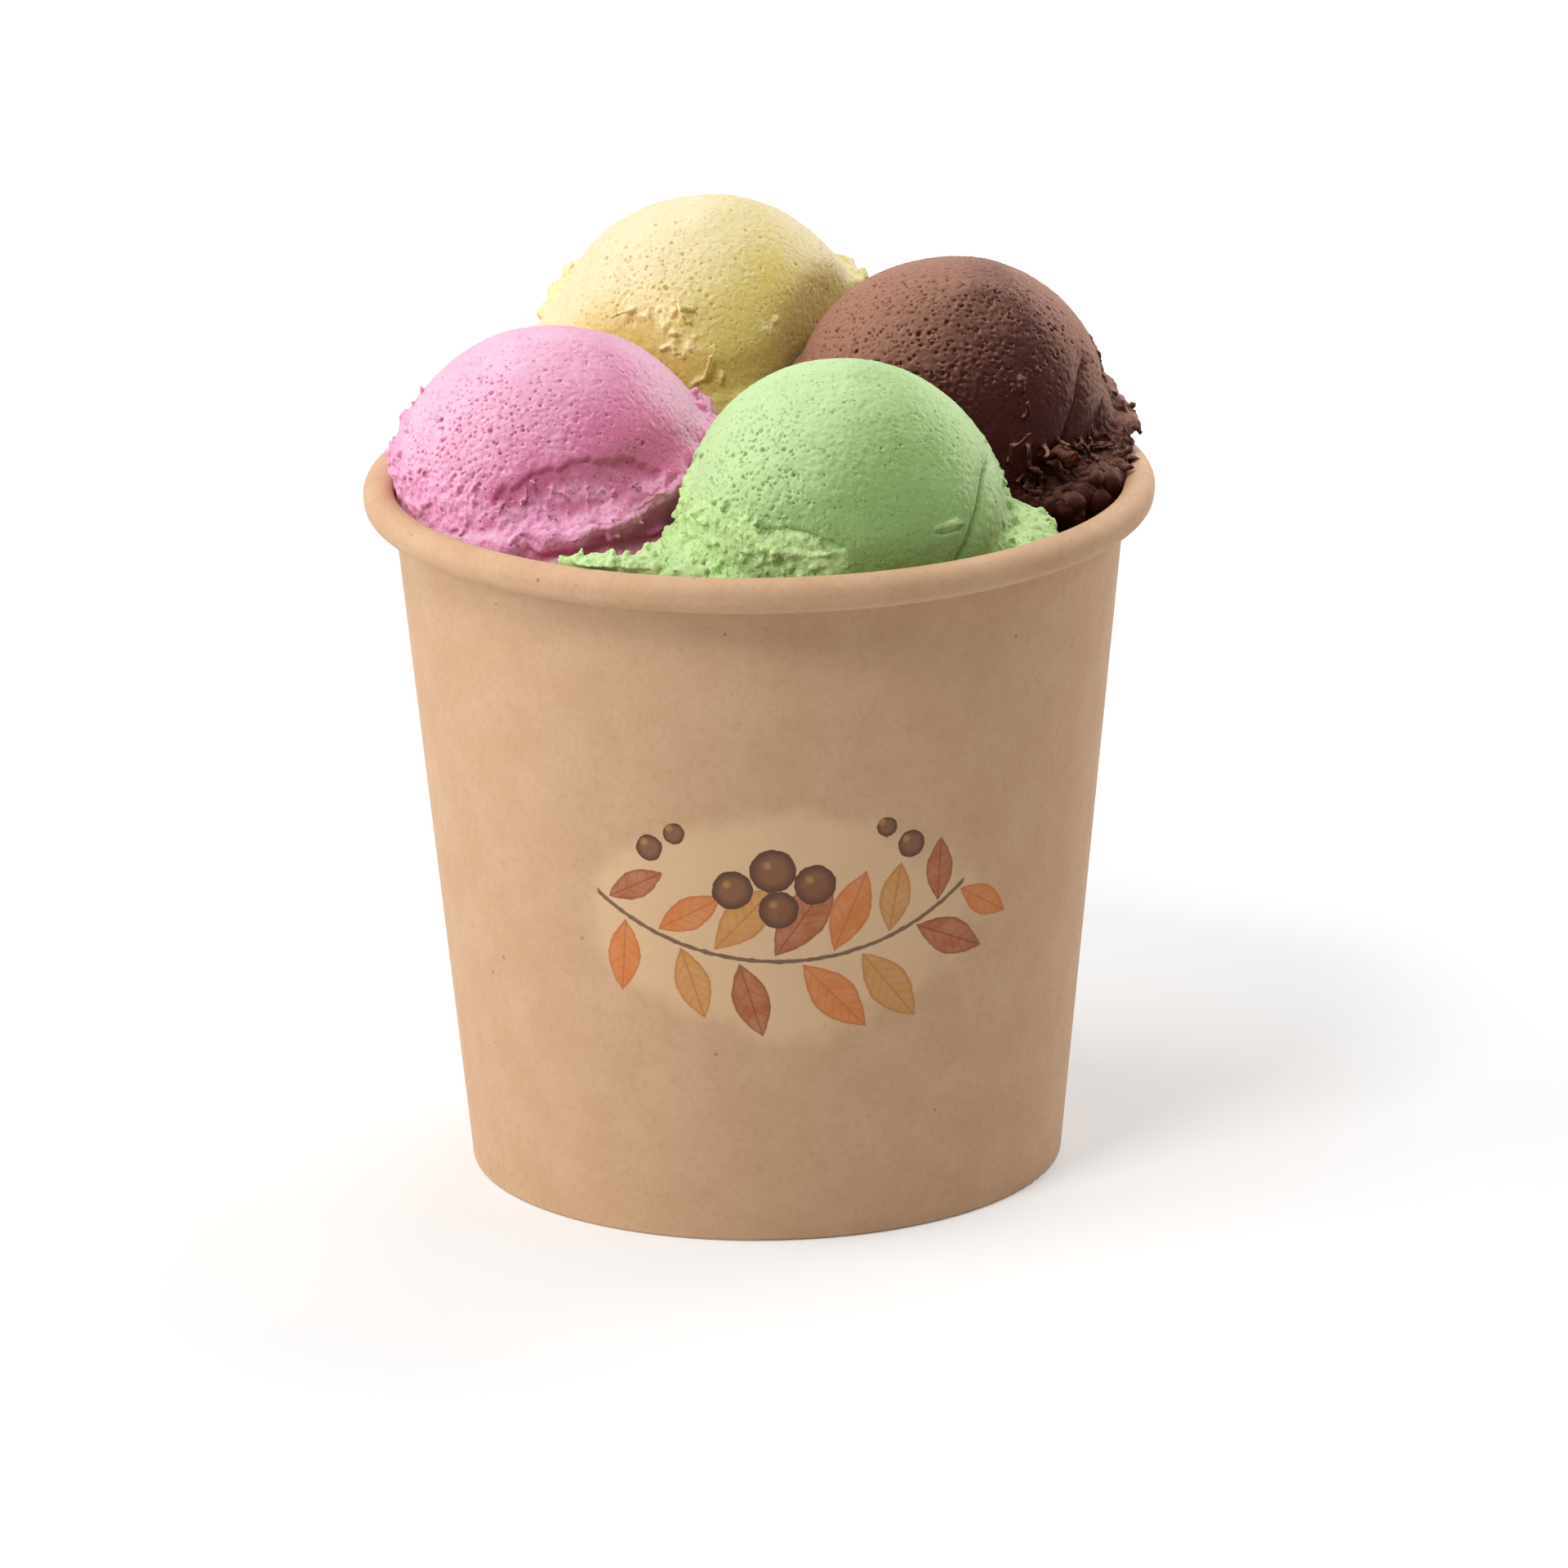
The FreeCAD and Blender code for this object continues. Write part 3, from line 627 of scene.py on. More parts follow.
# %% Patches on a dome
SCOOPS = {
    "scoop_strawberry": dict(
        seed=1, pole=(11.7, 11.4), skirt=12.4, frill=0.9,
        crumbly=[(-138, 8, 36, 11, 0, 1.0), (-98, 5, 18, 7, 0, 0.9), (-66, 4, 14, 5, 0, 0.6),
                 (-176, 14, 13, 24, 0, 1.0), (8, 28, 8, 8, 0, 0.9), (-78, 15, 28, 8, 4, 0.30)],
        pored=[(-133, 40, 40, 30, 0, 1.2), (-145, 20, 50, 20, 0, 1.2), (-80, 50, 70, 44, 0, 0.15)],
        shaggy=[(-96, 14, 10, 5, 0, 0.5), (-140, 4, 26, 6, 0, 0.25)],
        sweeps=[], ridge=(-2.0, -165, -40, 0.5), fills=[(-105, -17, 80, 15, 0, 2.6)],
        hollows=[(-77, 15, 35, 12, 4, 0.7)], lumps=[]),
    "scoop_pistachio": dict(
        seed=2, pole=(15.0, 0.0), skirt=-3.0, frill=1.0,
        crumbly=[(-142, 6, 32, 15, 0, 1.0), (-110, 3, 22, 12, 0, 1.0), (-174, 4, 10, 28, 0, 1.0),
                 (4, 14, 7, 22, 0, 1.0), (-49, 11, 8, 1.6, 0, 0.5), (-150, -8, 30, 8, 0, 1.0),
                 (-6, -6, 16, 10, 0, 0.9)],
        pored=[(-136, 36, 34, 30, 0, 1.3), (-130, 20, 44, 16, 0, 0.9), (-90, 58, 60, 30, 0, 0.15)],
        shaggy=[(-140, -4, 34, 10, 0, 0.12)],
        sweeps=[((-0.894, -0.100, 0.436), -35.2, (0.785, -0.600, 0.151), 34, 0.55)],
        ridge=None, fills=[],
        hollows=[(-106, 9, 16, 4, -8, 0.6), (-49, 9, 7, 1.6, 0, 0.5)],
        lumps=[((-23.0, -48.5, 105.6), (4.2, 2.6, 1.9)), ((-17.0, -50.3, 105.2), (4.0, 2.2, 2.2)),
               ((-11.5, -51.3, 104.6), (4.0, 2.2, 2.0)), ((-27.0, -46.0, 105.6), (1.8, 1.4, 1.0)),
               ((34.0, -33.0, 107.0), (2.2, 1.8, 2.0))]),
    "scoop_vanilla": dict(
        seed=3, pole=(20.2, 2.0), skirt=17.0, frill=0.9,
        crumbly=[(-112, 32, 16, 7, -15, 0.3), (-98, 20, 14, 4, 0, 0.25), (-64, 26, 8, 5, 0, 0.3),
                 (174, 22, 9, 14, 0, 1.0), (9, 26, 7, 10, 0, 1.0)],
        pored=[(-122, 46, 44, 26, 0, 0.45), (-80, 40, 60, 40, 0, 0.12)],
        shaggy=[(-84, 12, 16, 7, 0, 0.4), (-66, 24, 12, 8, 0, 0.3), (-112, 34, 18, 7, 0, 0.2)],
        sweeps=[], ridge=None, fills=[], hollows=[], lumps=[]),
    "scoop_chocolate": dict(
        seed=4, pole=(20.0, -9.0), skirt=5.0, frill=1.0,
        crumbly=[(-46, -10, 26, 12, 0, 1.0), (-16, -8, 18, 12, 0, 1.0), (6, 12, 6, 20, 0, 1.0),
                 (-60, 28, 12, 8, 0, 0.12)],
        pored=[(-122, 47, 50, 22, 0, 1.6), (-150, 50, 40, 26, 0, 1.0), (-90, 64, 80, 26, 0, 0.7),
               (-56, 30, 26, 16, 0, 0.5)],
        shaggy=[(-58, 0, 20, 10, 0, 0.8), (-42, -14, 26, 16, 0, 1.1), (-16, -16, 16, 12, 0, 0.6),
                (-66, 15, 10, 6, 0, 0.2)],
        sweeps=[((-0.790, -0.295, 0.532), -18.5, (0.740, -0.660, 0.132), 34, 0.6),
                ((-0.790, -0.295, 0.532), -39.0, (0.950, -0.300, 0.050), 30, 0.9)],
        ridge=None, fills=[(-20, -20, 46, 16, 0, 2.0)], hollows=[(-52, -8, 12, 8, 10, 0.9)],
        lumps=[((51.8, 9.5, 108.2), (3.4, 3.8, 3.2)), ((51.5, 13.5, 111.5), (1.8, 2.6, 2.8)),
               ((50.0, 3.0, 106.8), (2.8, 2.6, 1.6))]),
}
CROWN_DEPTH = 9 * MM         # the part of a dome's top that its ball is fitted to


def loose_copy(name):
    """A copy of a measured piece with its triangles joined."""
    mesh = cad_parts[name].data.copy()
    work = bmesh.new()
    work.from_mesh(mesh)
    bmesh.ops.remove_doubles(work, verts=work.verts, dist=1e-6)
    work.to_mesh(mesh)
    work.free()
    mesh.materials.clear()
    return mesh


def points_of(mesh):
    """A mesh's points as rows of numbers."""
    flat = np.empty(len(mesh.vertices) * 3)
    mesh.vertices.foreach_get("co", flat)
    return flat.reshape(-1, 3)


def fitted_ball(points):
    """The ball that fits a dome's crown best: its middle and its radius."""
    crown = points[points[:, 2] > points[:, 2].max() - CROWN_DEPTH]
    rows = np.c_[2 * crown, np.ones(len(crown))]
    answer = np.linalg.lstsq(rows, (crown ** 2).sum(1), rcond=None)[0]
    middle = answer[:3]
    return middle, math.sqrt(answer[3] + (middle ** 2).sum())


for name in SCOOPS:
    middle, radius = fitted_ball(points_of(loose_copy(name)))
    print(name, "dome at", (middle / MM).round(1), "mm, radius", round(radius / MM, 2))

# %% [markdown]
# ## Reading the marks at every point
#
# A mark is wanted as one number for each point of a mesh.  NumPy works that out for all points
# in one go from their directions, which is much quicker than a loop over points in Python, and
# the numbers are then kept on the mesh as attributes that a node tree can read.

# %% Reading a patch at every point
def steps(value, low, high):
    """A smooth step from 0 to 1 while the value goes from low to high."""
    share = np.clip((value - low) / (high - low), 0, 1)
    return share * share * (3 - 2 * share)


def patch_depth(away, patch):
    """How far inside a patch each direction is: above 0 inside, 0 on its edge, below 0 outside."""
    around, up, half_across, half_up, turn, _ = patch
    a, e, t = (math.radians(v) for v in (around, up, turn))
    middle = np.array([math.cos(e) * math.cos(a), math.cos(e) * math.sin(a), math.sin(e)])
    east = np.array([-math.sin(a), math.cos(a), 0.0])
    north = np.cross(middle, east)
    east, north = (east * math.cos(t) + north * math.sin(t),
                   north * math.cos(t) - east * math.sin(t))
    ahead_of = away @ middle
    x = np.degrees(np.arctan2(away @ east, ahead_of)) / half_across
    y = np.degrees(np.arctan2(away @ north, ahead_of)) / half_up
    return 1 - np.hypot(x, y)


def patched(away, patches):
    """The strongest patch at each direction, from -1 far outside to its strength inside."""
    best = np.full(len(away), -1.0)
    for patch in patches:
        depth = np.clip(patch_depth(away, patch), -1, 1)
        best = np.maximum(best, np.where(depth > 0, depth * patch[5], depth))
    return best


def pole_of(scoop):
    """The direction that a dome leans in."""
    viewer, left = (math.radians(v) for v in scoop["pole"])
    return np.array([-math.sin(left), -math.cos(left) * math.sin(viewer),
                     math.cos(left) * math.cos(viewer)])


def carved_depth(away, scoop):
    """How deep the blade's grooves and the lifted flakes go at each direction, in metres."""
    depth = np.zeros(len(away))
    for axis, latitude, middle, half_length, deep in scoop["sweeps"]:
        axis = np.array(axis) / np.linalg.norm(axis)
        middle = np.array(middle) / np.linalg.norm(middle)
        off = np.degrees(np.arcsin(np.clip(away @ axis, -1, 1))) - latitude
        along = np.degrees(np.arccos(np.clip(away @ middle, -1, 1))) / half_length
        off = off + 0.5 * np.sin(9 * along)
        fade = 1 - steps(along, 0.6, 1.0)
        cut = np.exp(-(off / 0.8) ** 2) + 0.30 * steps(off, -8, -0.5) * (off < 0)
        depth += deep * MM * cut * fade
    for patch in scoop["hollows"]:
        inside = patch_depth(away, patch)
        ragged = inside + 0.05 * np.sin(23 * away[:, 0] + 9 * away[:, 2]) \
            + 0.04 * np.sin(61 * away[:, 0] - 40 * away[:, 2])
        depth += patch[5] * MM * steps(ragged, 0.0, 0.14) * (1 - 0.6 * steps(ragged, 0.3, 1.0))
    for patch in scoop["fills"]:
        depth -= patch[5] * MM * steps(patch_depth(away, patch), 0.0, 0.5)
    if scoop["ridge"]:
        up, first, last, high = scoop["ridge"]
        round_it = np.degrees(np.arctan2(away[:, 1], away[:, 0]))
        wavy = up + 0.7 * np.sin(0.16 * round_it) + 0.4 * np.sin(0.61 * round_it)
        above = np.degrees(np.arcsin(np.clip(away[:, 2], -1, 1))) - wavy
        shown = steps(round_it, first, first + 12) * (1 - steps(round_it, last - 12, last))
        depth -= high * MM * np.exp(-(above / 1.3) ** 2) * shown
    return depth


def store(mesh, name, values):
    """Keeps one number for each point on the mesh."""
    attribute = mesh.attributes.get(name) or mesh.attributes.new(name, "FLOAT", "POINT")
    attribute.data.foreach_set("value", values.astype(np.float32))


print("marks to read:", {name.split("_")[1]: sum(len(v) for v in scoop.values()
                                                 if isinstance(v, list))
                         for name, scoop in SCOOPS.items()})

# %% [markdown]
# ## Flakes that melt into the scoop
#
# Torn ice cream has shards and lumps that stand off the surface and hang over it.  A surface
# that is only pushed in and out can't make those, so small flattened pebbles are scattered where
# the ice cream is crumbly, turned and sized at random, and half sunk in it.  A voxel remesh then
# joins pebbles and scoop into a single skin with even faces, which the next step needs.

# %% Geometry Nodes: scattering the flakes
def geometry_tree(name, inputs):
    """An empty Geometry Nodes tree with a mesh in and out and named inputs."""
    tree = bpy.data.node_groups.new(name, "GeometryNodeTree")
    tree.interface.new_socket("Mesh", in_out="INPUT", socket_type="NodeSocketGeometry")
    tree.interface.new_socket("Mesh", in_out="OUTPUT", socket_type="NodeSocketGeometry")
    for socket, kind in inputs:
        tree.interface.new_socket(socket, in_out="INPUT", socket_type=kind)
    return tree, tree.nodes.new("NodeGroupInput").outputs, tree.nodes.new("NodeGroupOutput")


def use_tree(piece, tree, **values):
    """Adds a tree to a piece, with its inputs set by their identifiers."""
    modifier = piece.modifiers.new(tree.name, "NODES")
    modifier.node_group = tree
    for item in tree.interface.items_tree:
        if item.in_out == "INPUT" and item.name in values:
            modifier[item.identifier] = values[item.name]


def named(tree, attribute):
    """The numbers that a mesh carries under a name."""
    return add_node(tree, "GeometryNodeInputNamedAttribute", {"Name": attribute},
                    data_type="FLOAT").outputs[0]


def random_vector(tree, low, high, seed):
    """A random vector between two corners."""
    return add_node(tree, "FunctionNodeRandomValue", {0: low, 1: high, "Seed": seed},
                    data_type="FLOAT_VECTOR").outputs[0]


def joined(tree, *parts):
    """Several shapes as one."""
    both = add_node(tree, "GeometryNodeJoinGeometry")
    for part in parts:
        tree.links.new(part, both.inputs[0])
    return both.outputs[0]


def end_tree(tree, shape, finish, result):
    """The end of each tree: instances made real, and the finish set."""
    solid = add_node(tree, "GeometryNodeRealizeInstances", {0: shape}).outputs[0]
    coated = add_node(tree, "GeometryNodeSetMaterial", {"Geometry": solid, "Material": finish})
    tree.links.new(coated.outputs[0], result.inputs[0])


def flake_tree():
    """Flattened pebbles on the crumbly faces, joined with the scoop."""
    tree, given, result = geometry_tree("torn_flakes", [
        ("Flakes per square metre", "NodeSocketFloat"), ("Smallest", "NodeSocketVector"),
        ("Largest", "NodeSocketVector"), ("Seed", "NodeSocketInt"),
        ("Finish", "NodeSocketMaterial")])
    where = add_node(tree, "GeometryNodeInputPosition").outputs[0]
    clumps = noise(tree, where, 3.5 * MM, detail=1.0).outputs[0]
    torn = calc(tree, "MAXIMUM", ramp(tree, named(tree, "crumbly"), -0.05, 0.25),
                ramp(tree, named(tree, "frill"), 0.35, 0.9, 0.0, 0.6))
    crowd = calc(tree, "MULTIPLY", torn, ramp(tree, clumps, 0.35, 0.6, 0.25, 1.0))
    density = calc(tree, "MULTIPLY", crowd, given["Flakes per square metre"])
    points = add_node(tree, "GeometryNodeDistributePointsOnFaces",
                      {"Mesh": given["Mesh"], "Density": density, "Seed": given["Seed"]})
    pebble = add_node(tree, "GeometryNodeMeshIcoSphere", {"Radius": 1.0, "Subdivisions": 2})
    dents = noise(tree, where, 0.9, detail=1.0).outputs[1]
    push = scaled(tree, vector_calc(tree, "SUBTRACT", dents, (0.5, 0.5, 0.5)), 1.1)
    pebble = add_node(tree, "GeometryNodeSetPosition",
                      {"Geometry": pebble.outputs["Mesh"], "Offset": push})
    spin = random_vector(tree, (0, 0, 0), (6.28, 6.28, 6.28), 3)
    size = random_vector(tree, given["Smallest"], given["Largest"], 5)
    flakes = add_node(tree, "GeometryNodeInstanceOnPoints",
                      {"Points": points.outputs["Points"], "Instance": pebble.outputs[0],
                       "Rotation": spin, "Scale": size})
    both = joined(tree, flakes.outputs[0], given["Mesh"])
    end_tree(tree, both, given["Finish"], result)
    return tree


FLAKES = flake_tree()
print("flake tree has", len(FLAKES.nodes), "nodes")

# %% [markdown]
# ## Curls and shards
#
# A blade that leaves a scoop drags thin curls after it.  Each one here is a short bent curve with
# a round section that narrows to the tip.  One curl is made once and stood on random points of the
# shaggy faces, along the surface's own direction, and then leaned and turned.

# %% Geometry Nodes: curls and shards
def curl_tree():
    """Bent, tapered ribbons that stand off the shaggy faces, joined with the scoop."""
    tree, given, result = geometry_tree("torn_curls", [
        ("Curls per square metre", "NodeSocketFloat"), ("Shortest", "NodeSocketVector"),
        ("Longest", "NodeSocketVector"), ("Seed", "NodeSocketInt"),
        ("Finish", "NodeSocketMaterial")])
    shaggy = ramp(tree, named(tree, "shaggy"), 0.0, 0.5)
    density = calc(tree, "MULTIPLY", shaggy, given["Curls per square metre"])
    points = add_node(tree, "GeometryNodeDistributePointsOnFaces",
                      {"Mesh": given["Mesh"], "Density": density, "Seed": given["Seed"]})
    spine = add_node(tree, "GeometryNodeCurveQuadraticBezier",
                     {"Resolution": 8, "Start": (0, 0, -0.2), "Middle": (0.1, 0, 0.75),
                      "End": (1.0, 0.3, 0.7)})
    along = add_node(tree, "GeometryNodeSplineParameter").outputs["Factor"]
    spine = add_node(tree, "GeometryNodeSetCurveRadius",
                     {"Curve": spine.outputs[0], "Radius": ramp(tree, along, 0.3, 1.0, 1.0, 0.3)})
    outline = add_node(tree, "GeometryNodeCurvePrimitiveCircle", {"Resolution": 6, "Radius": 0.17})
    curl = add_node(tree, "GeometryNodeCurveToMesh",
                    {"Curve": spine.outputs[0], "Profile Curve": outline.outputs[0],
                     "Fill Caps": True})
    size = random_vector(tree, given["Shortest"], given["Longest"], 5)
    curls = add_node(tree, "GeometryNodeInstanceOnPoints",
                     {"Points": points.outputs["Points"], "Instance": curl.outputs[0],
                      "Rotation": points.outputs["Rotation"], "Scale": size})
    lean = random_vector(tree, (-0.7, -0.7, 0), (0.7, 0.7, 6.28), 7)
    curls = add_node(tree, "GeometryNodeRotateInstances",
                     {"Instances": curls.outputs[0], "Rotation": lean})
    both = joined(tree, curls.outputs[0], given["Mesh"])
    end_tree(tree, both, given["Finish"], result)
    return tree


CURLS = curl_tree()
print("curl tree has", len(CURLS.nodes), "nodes")

# %% [markdown]
# ## Pressing pores and crumbs into the skin
#
# The third tree moves the points of the melted mesh.  Broad waves and fine grain go everywhere.
# Pores are the middles of random cells: a cell becomes a pore only if its own random number is
# below the local density, so pores come in clusters.  In crumbly patches the points are also
# moved sideways by a coarse noise, which makes small overhangs.  The tree writes down where it
# made pores and crumbs, for the paint.

# %% Geometry Nodes: the relief of the skin
WIDE_PORES = dict(size=1.5 * MM, radius=0.50 * MM, seed=0)
FINE_PORES = dict(size=0.75 * MM, radius=0.32 * MM, seed=9)
WIDE_SHARE, FINE_SHARE = 0.32, 1.9           # cells that are pores where pored is 1
LUMP_SIZE = 1.4 * MM


def pores(tree, where, density, size, radius, seed):
    """Round pits in some of the cells: 1 in the middle of a pit."""
    cell = cells(tree, where, size, seed=seed)
    random = add_node(tree, "ShaderNodeSeparateXYZ", {0: cell.outputs["Color"]}).outputs
    reach = calc(tree, "MULTIPLY", ramp(tree, random["Y"], 0.0, 1.0, 0.5, 1.0), radius / size)
    share = calc(tree, "DIVIDE", cell.outputs["Distance"], reach)
    pit = ramp(tree, share, 0.4, 1.0, 1.0, 0.0)
    chosen = calc(tree, "LESS_THAN", random["X"], density)
    return calc(tree, "MULTIPLY", pit, chosen)


def relief_tree():
    """Waves, grain, pores, crumbs and carved marks on a finely divided mesh."""
    tree, given, result = geometry_tree("skin_relief", [
        ("Wave", "NodeSocketFloat"), ("Grain", "NodeSocketFloat"), ("Pore", "NodeSocketFloat"),
        ("Crumb", "NodeSocketFloat"), ("Seed", "NodeSocketFloat"),
        ("Finish", "NodeSocketMaterial")])
    place = add_node(tree, "GeometryNodeInputPosition").outputs[0]
    shift = scaled(tree, (0.23, 0.11, 0.17), given["Seed"])
    where = vector_calc(tree, "ADD", place, shift)
    outward = add_node(tree, "GeometryNodeInputNormal").outputs[0]
    ragged = noise(tree, where, 3.0 * MM, detail=3.0, roughness=0.6).outputs[0]
    edge = calc(tree, "MULTIPLY", calc(tree, "SUBTRACT", ragged, 0.5), 0.9)
    crumb = ramp(tree, calc(tree, "ADD", named(tree, "crumbly"), edge), 0.0, 0.35)
    frill = ramp(tree, calc(tree, "ADD", named(tree, "frill"), edge), 0.15, 0.6)
    loose = calc(tree, "MAXIMUM", crumb, frill)
    pored = calc(tree, "ADD", named(tree, "pored"), calc(tree, "MULTIPLY", edge, 0.9))

    drift = noise(tree, where, 2.6 * MM, detail=3.0, roughness=0.6, seed=4).outputs[1]
    sideways = vector_calc(tree, "SUBTRACT", drift, (0.5, 0.5, 0.5))
    dented = vector_calc(tree, "ADD", where, scaled(tree, sideways, 0.9 * MM))
    wide = pores(tree, dented, calc(tree, "MULTIPLY", pored, WIDE_SHARE), **WIDE_PORES)
    fine = pores(tree, dented, calc(tree, "MULTIPLY", pored, FINE_SHARE), **FINE_PORES)
    pit = calc(tree, "MAXIMUM", wide, calc(tree, "MULTIPLY", fine, 0.75))

    wave = calc(tree, "SUBTRACT", noise(tree, where, 8 * MM).outputs[0], 0.55)
    grain = calc(tree, "SUBTRACT", noise(tree, where, 0.75 * MM, detail=2.0,
                                         roughness=0.7).outputs[0], 0.5)
    lumps = noise(tree, where, LUMP_SIZE, detail=4.0, roughness=0.7, distortion=0.5).outputs[0]
    rough = calc(tree, "SUBTRACT", lumps, 0.45)

    height = calc(tree, "MULTIPLY", wave, given["Wave"])
    height = calc(tree, "ADD", height, calc(tree, "MULTIPLY", grain, given["Grain"]))
    height = calc(tree, "SUBTRACT", height, calc(tree, "MULTIPLY", pit, given["Pore"]))
    crumbs = calc(tree, "MULTIPLY", calc(tree, "MULTIPLY", rough, loose), given["Crumb"])
    height = calc(tree, "ADD", height, crumbs)
    height = calc(tree, "SUBTRACT", height, named(tree, "carved"))
    height = calc(tree, "MULTIPLY", height, named(tree, "free"))

    push = calc(tree, "MULTIPLY", calc(tree, "MULTIPLY", loose, named(tree, "free")),
                calc(tree, "MULTIPLY", given["Crumb"], 0.9))
    offset = vector_calc(tree, "ADD", scaled(tree, outward, height),
                         scaled(tree, sideways, push))
    moved = add_node(tree, "GeometryNodeSetPosition",
                     {"Geometry": given["Mesh"], "Offset": offset}).outputs[0]
    for label, value in (("pit", pit), ("crumb", loose)):
        moved = add_node(tree, "GeometryNodeStoreNamedAttribute",
                         {"Geometry": moved, "Name": label, "Value": value},
                         data_type="FLOAT", domain="POINT").outputs[0]
    end_tree(tree, moved, given["Finish"], result)
    return tree


RELIEF = relief_tree()
print("relief tree has", len(RELIEF.nodes), "nodes")

# %% [markdown]
# ## Staying inside the tub
#
# The skin grows by up to a millimetre or two, so it has to know where the wall is.  The rim's
# height and radius are measured on the carried-over wall; the rest of its section is the model's.
# Only what shows above the rim, and a little way down, gets relief.  What lies deeper stays plain.

# %% Measures of the tub
cup_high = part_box("cup_wall")[1]
CUP_HEIGHT = cup_high.z
RIM_RADIUS = cup_high.x
FOOT_RADIUS = 44.4 * MM
BOARD = 0.45 * MM
ROLL_REACH = 4.0 * MM
SHOWN_DEPTH = 20 * MM             # the eye reaches no deeper than this below the rim
SUNK = 1.0 * MM                   # how far the upper part reaches into the lower one


def wall_inside(z):
    """The tub's inner radius at a height."""
    slope = (RIM_RADIUS - ROLL_REACH - FOOT_RADIUS) / CUP_HEIGHT
    return FOOT_RADIUS + slope * np.minimum(z, CUP_HEIGHT) - BOARD


print("inner radius at the rim:", round(float(wall_inside(CUP_HEIGHT)) / MM, 2), "mm")

# %% [markdown]
# ## Cutting, adding and joining
#
# The part of a scoop that shows is cut off, worked on, and put back on the plain lower part, so
# that the triangles are spent where they are seen.  The two parts overlap by a millimetre.

# %% Working on meshes
def baked(piece):
    """The piece with its modifiers worked into a plain mesh."""
    graph = bpy.context.evaluated_depsgraph_get()
    shown = piece.evaluated_get(graph)
    mesh = bpy.data.meshes.new_from_object(shown, preserve_all_data_layers=True,
                                           depsgraph=graph)
    piece.modifiers.clear()
    piece.data = mesh
    return mesh


def part_of(mesh, height, above):
    """The part of a mesh above or below a height, closed with a flat cap."""
    work = bmesh.new()
    work.from_mesh(mesh)
    bmesh.ops.bisect_plane(work, geom=[*work.verts, *work.edges, *work.faces],
                           plane_co=(0, 0, height), plane_no=(0, 0, 1),
                           clear_inner=above, clear_outer=not above)
    bmesh.ops.holes_fill(work, edges=[edge for edge in work.edges if edge.is_boundary])
    bmesh.ops.triangulate(work, faces=work.faces)
    bmesh.ops.recalc_face_normals(work, faces=work.faces)
    part = bpy.data.meshes.new(mesh.name)
    work.to_mesh(part)
    work.free()
    return part


def with_lumps(mesh, lumps):
    """The mesh with loose lumps of ice cream added where they lie, in millimetres."""
    work = bmesh.new()
    work.from_mesh(mesh)
    for place, size in lumps:
        shape = Matrix.LocRotScale(Vector(place) * MM, None, Vector(size) * MM)
        bmesh.ops.create_icosphere(work, subdivisions=3, radius=1.0, matrix=shape)
    work.to_mesh(mesh)
    work.free()


def on_top_of(lower, mesh):
    """One mesh with the finished upper part and the plain lower part, which the tub hides."""
    work = bmesh.new()
    work.from_mesh(mesh)
    work.from_mesh(lower)
    work.to_mesh(mesh)
    work.free()


def triangles_of(mesh):
    """How many triangles a mesh has."""
    return len(mesh.loops) - 2 * len(mesh.polygons)


print("triangles in the measured scoops:",
      {name.split("_")[1]: triangles_of(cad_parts[name].data) for name in SCOOPS})

# %% [markdown]
# ## What each point knows
#
# The skin is described twice: on the measured solid, so that flakes and curls know where to grow,
# and on the melted mesh, so that the relief knows where to work.  *free* is 0 where a point is too
# near the wall or too deep to be moved, and 1 where it may move as it likes.

# %% Describing the skin and keeping it in its place
def describe(mesh, scoop, middle):
    """Stores on each point how crumbly, pored, shaggy, frilled, carved and free it is."""
    points = points_of(mesh)
    away = points - middle
    away /= np.linalg.norm(away, axis=1)[:, None]
    for label in ("crumbly", "pored", "shaggy"):
        store(mesh, label, patched(away, scoop[label]))
    latitude = np.degrees(np.arcsin(np.clip(away @ pole_of(scoop), -1, 1))) - scoop["skirt"]
    store(mesh, "frill", scoop["frill"] * np.exp(-((latitude + 1.5) / 2.6) ** 2))
    store(mesh, "carved", carved_depth(away, scoop))
    from_axis = np.hypot(points[:, 0], points[:, 1])
    room = steps(wall_inside(points[:, 2]) - from_axis, 0.2 * MM, 1.2 * MM)
    over = steps(points[:, 2], CUP_HEIGHT - 1 * MM, CUP_HEIGHT + 1 * MM)
    depth = CUP_HEIGHT - points[:, 2]
    shown = 1 - steps(depth, SHOWN_DEPTH - 6 * MM, SHOWN_DEPTH - 1 * MM)
    store(mesh, "free", np.maximum(room, over) * shown)


def inside_tub(mesh):
    """Draws in what would poke through the tub's wall or rise above the measured model."""
    points = points_of(mesh)
    from_axis = np.hypot(points[:, 0], points[:, 1])
    allowed = wall_inside(points[:, 2]) - 0.05 * MM
    low = (points[:, 2] < CUP_HEIGHT + 0.3 * MM) & (from_axis > allowed)
    share = np.where(low, allowed / np.maximum(from_axis, 1e-9), 1.0)
    points[:, :2] *= share[:, None]
    points[:, 2] = np.minimum(points[:, 2], cad_box[1][2])
    mesh.vertices.foreach_set("co", points.ravel())
    mesh.update()


for name, scoop in SCOOPS.items():
    print(name, "leans towards", pole_of(scoop).round(2))

# %% [markdown]
# ## From solid to skin
#
# Everything now comes together: lumps, flakes and curls are added, a voxel remesh melts them into
# one closed surface, the relief moves its points, and a decimation keeps the piece light enough.
# A sculpted or simulated surface would do too, but this one can be rebuilt from its numbers.

# %% Making one scoop
VOXEL = 0.23 * MM
CEILING = 195_000                 # triangles in one scoop


def in_mm(*values):
    """Lengths in millimetres as the metres that Blender works in."""
    return tuple(value * MM for value in values)


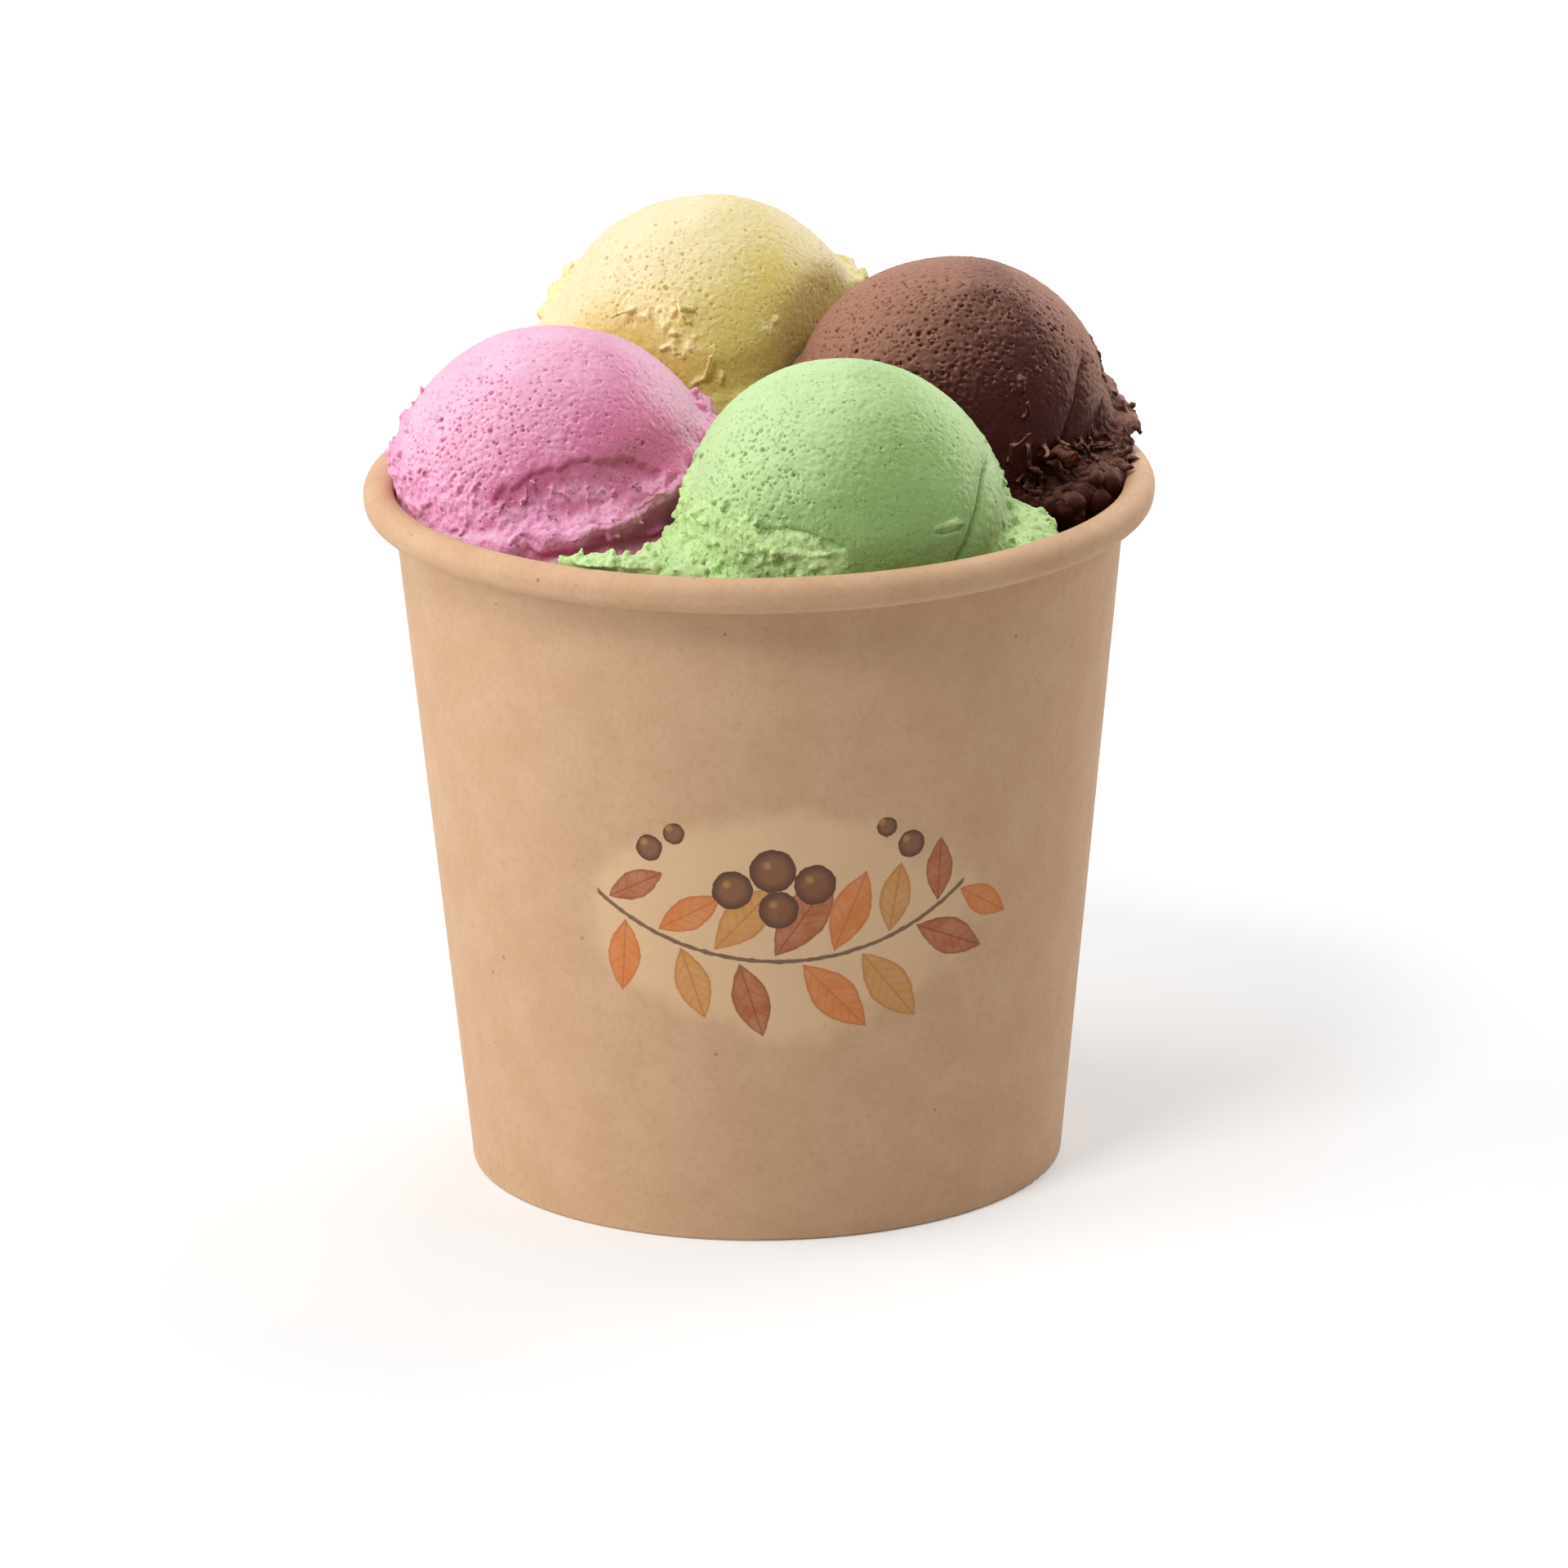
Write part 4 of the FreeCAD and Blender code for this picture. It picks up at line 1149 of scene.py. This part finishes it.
FLAKE_SIZES = {"Flakes per square metre": 3.0e5, "Smallest": in_mm(0.35, 0.25, 0.2),
               "Largest": in_mm(1.7, 1.0, 0.6)}
CURL_SIZES = {"Curls per square metre": 2.4e5, "Shortest": in_mm(1.2, 1.2, 1.0),
              "Longest": in_mm(4.2, 2.6, 2.2)}
RELIEF_HEIGHTS = {"Wave": 0.35 * MM, "Grain": 0.42 * MM, "Pore": 0.50 * MM, "Crumb": 1.35 * MM}


def dressed_scoop(name, scoop, finish):
    """A scoop's own skin over its measured solid."""
    whole = loose_copy(name)
    middle, _ = fitted_ball(points_of(whole))
    lower = part_of(whole, CUP_HEIGHT - SHOWN_DEPTH, above=False)
    mesh = part_of(whole, CUP_HEIGHT - SHOWN_DEPTH - SUNK, above=True)
    with_lumps(mesh, scoop["lumps"])
    describe(mesh, scoop, middle)
    piece = bpy.data.objects.new(name + "_skin", mesh)
    bpy.context.scene.collection.objects.link(piece)
    use_tree(piece, FLAKES, Seed=scoop["seed"], Finish=finish, **FLAKE_SIZES)
    use_tree(piece, CURLS, Seed=scoop["seed"], Finish=finish, **CURL_SIZES)
    melt = piece.modifiers.new("melt", "REMESH")
    melt.mode = "VOXEL"
    melt.voxel_size = VOXEL
    mesh = baked(piece)
    describe(mesh, scoop, middle)
    use_tree(piece, RELIEF, Seed=float(scoop["seed"]), Finish=finish, **RELIEF_HEIGHTS)
    mesh = baked(piece)
    inside_tub(mesh)
    melted = triangles_of(mesh)
    ceiling = CEILING - triangles_of(lower)
    if melted > ceiling:
        thin = piece.modifiers.new("thin", "DECIMATE")
        thin.ratio = ceiling / melted
        mesh = baked(piece)
    on_top_of(lower, mesh)
    mesh.shade_smooth()
    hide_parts(name)
    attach(piece, "root")
    print(name, "melted to", melted, "triangles, kept", triangles_of(mesh))
    return piece


print("voxels of", round(VOXEL / MM, 2), "mm")

# %% [markdown]
# ## Four flavours
#
# A flavour is four colours: the main colour, which also stands as painted shade on the sides turned
# away from the painted light, the pale colour of frost and of painted light, the deep colour
# painted as shade in dots and pores, and the colour of torn ice cream.  The last flavour gets few
# frost crystals and hardly any sheen, because both would turn its dark brown grey.

# %% The four scoops
FLAVOURS = {
    "scoop_strawberry": dict(main=colour(216, 117, 158), pale=colour(246, 196, 220),
                             deep=colour(182, 84, 124), torn=colour(248, 174, 212)),
    "scoop_pistachio": dict(main=colour(147, 180, 110), pale=colour(200, 227, 168),
                            deep=colour(108, 150, 66), torn=colour(210, 238, 168)),
    "scoop_vanilla": dict(main=colour(220, 198, 108), pale=colour(244, 229, 190),
                          deep=colour(208, 178, 92), torn=colour(250, 238, 178)),
    "scoop_chocolate": dict(main=colour(60, 15, 8), pale=colour(166, 120, 100),
                            deep=colour(34, 8, 3), torn=colour(62, 20, 11), frost=0.09,
                            sheen=0.02),
}
for name, scoop in SCOOPS.items():
    finish = finish_ice_cream(name.replace("scoop", "ice_cream"), **FLAVOURS[name])
    dressed_scoop(name, scoop, finish)
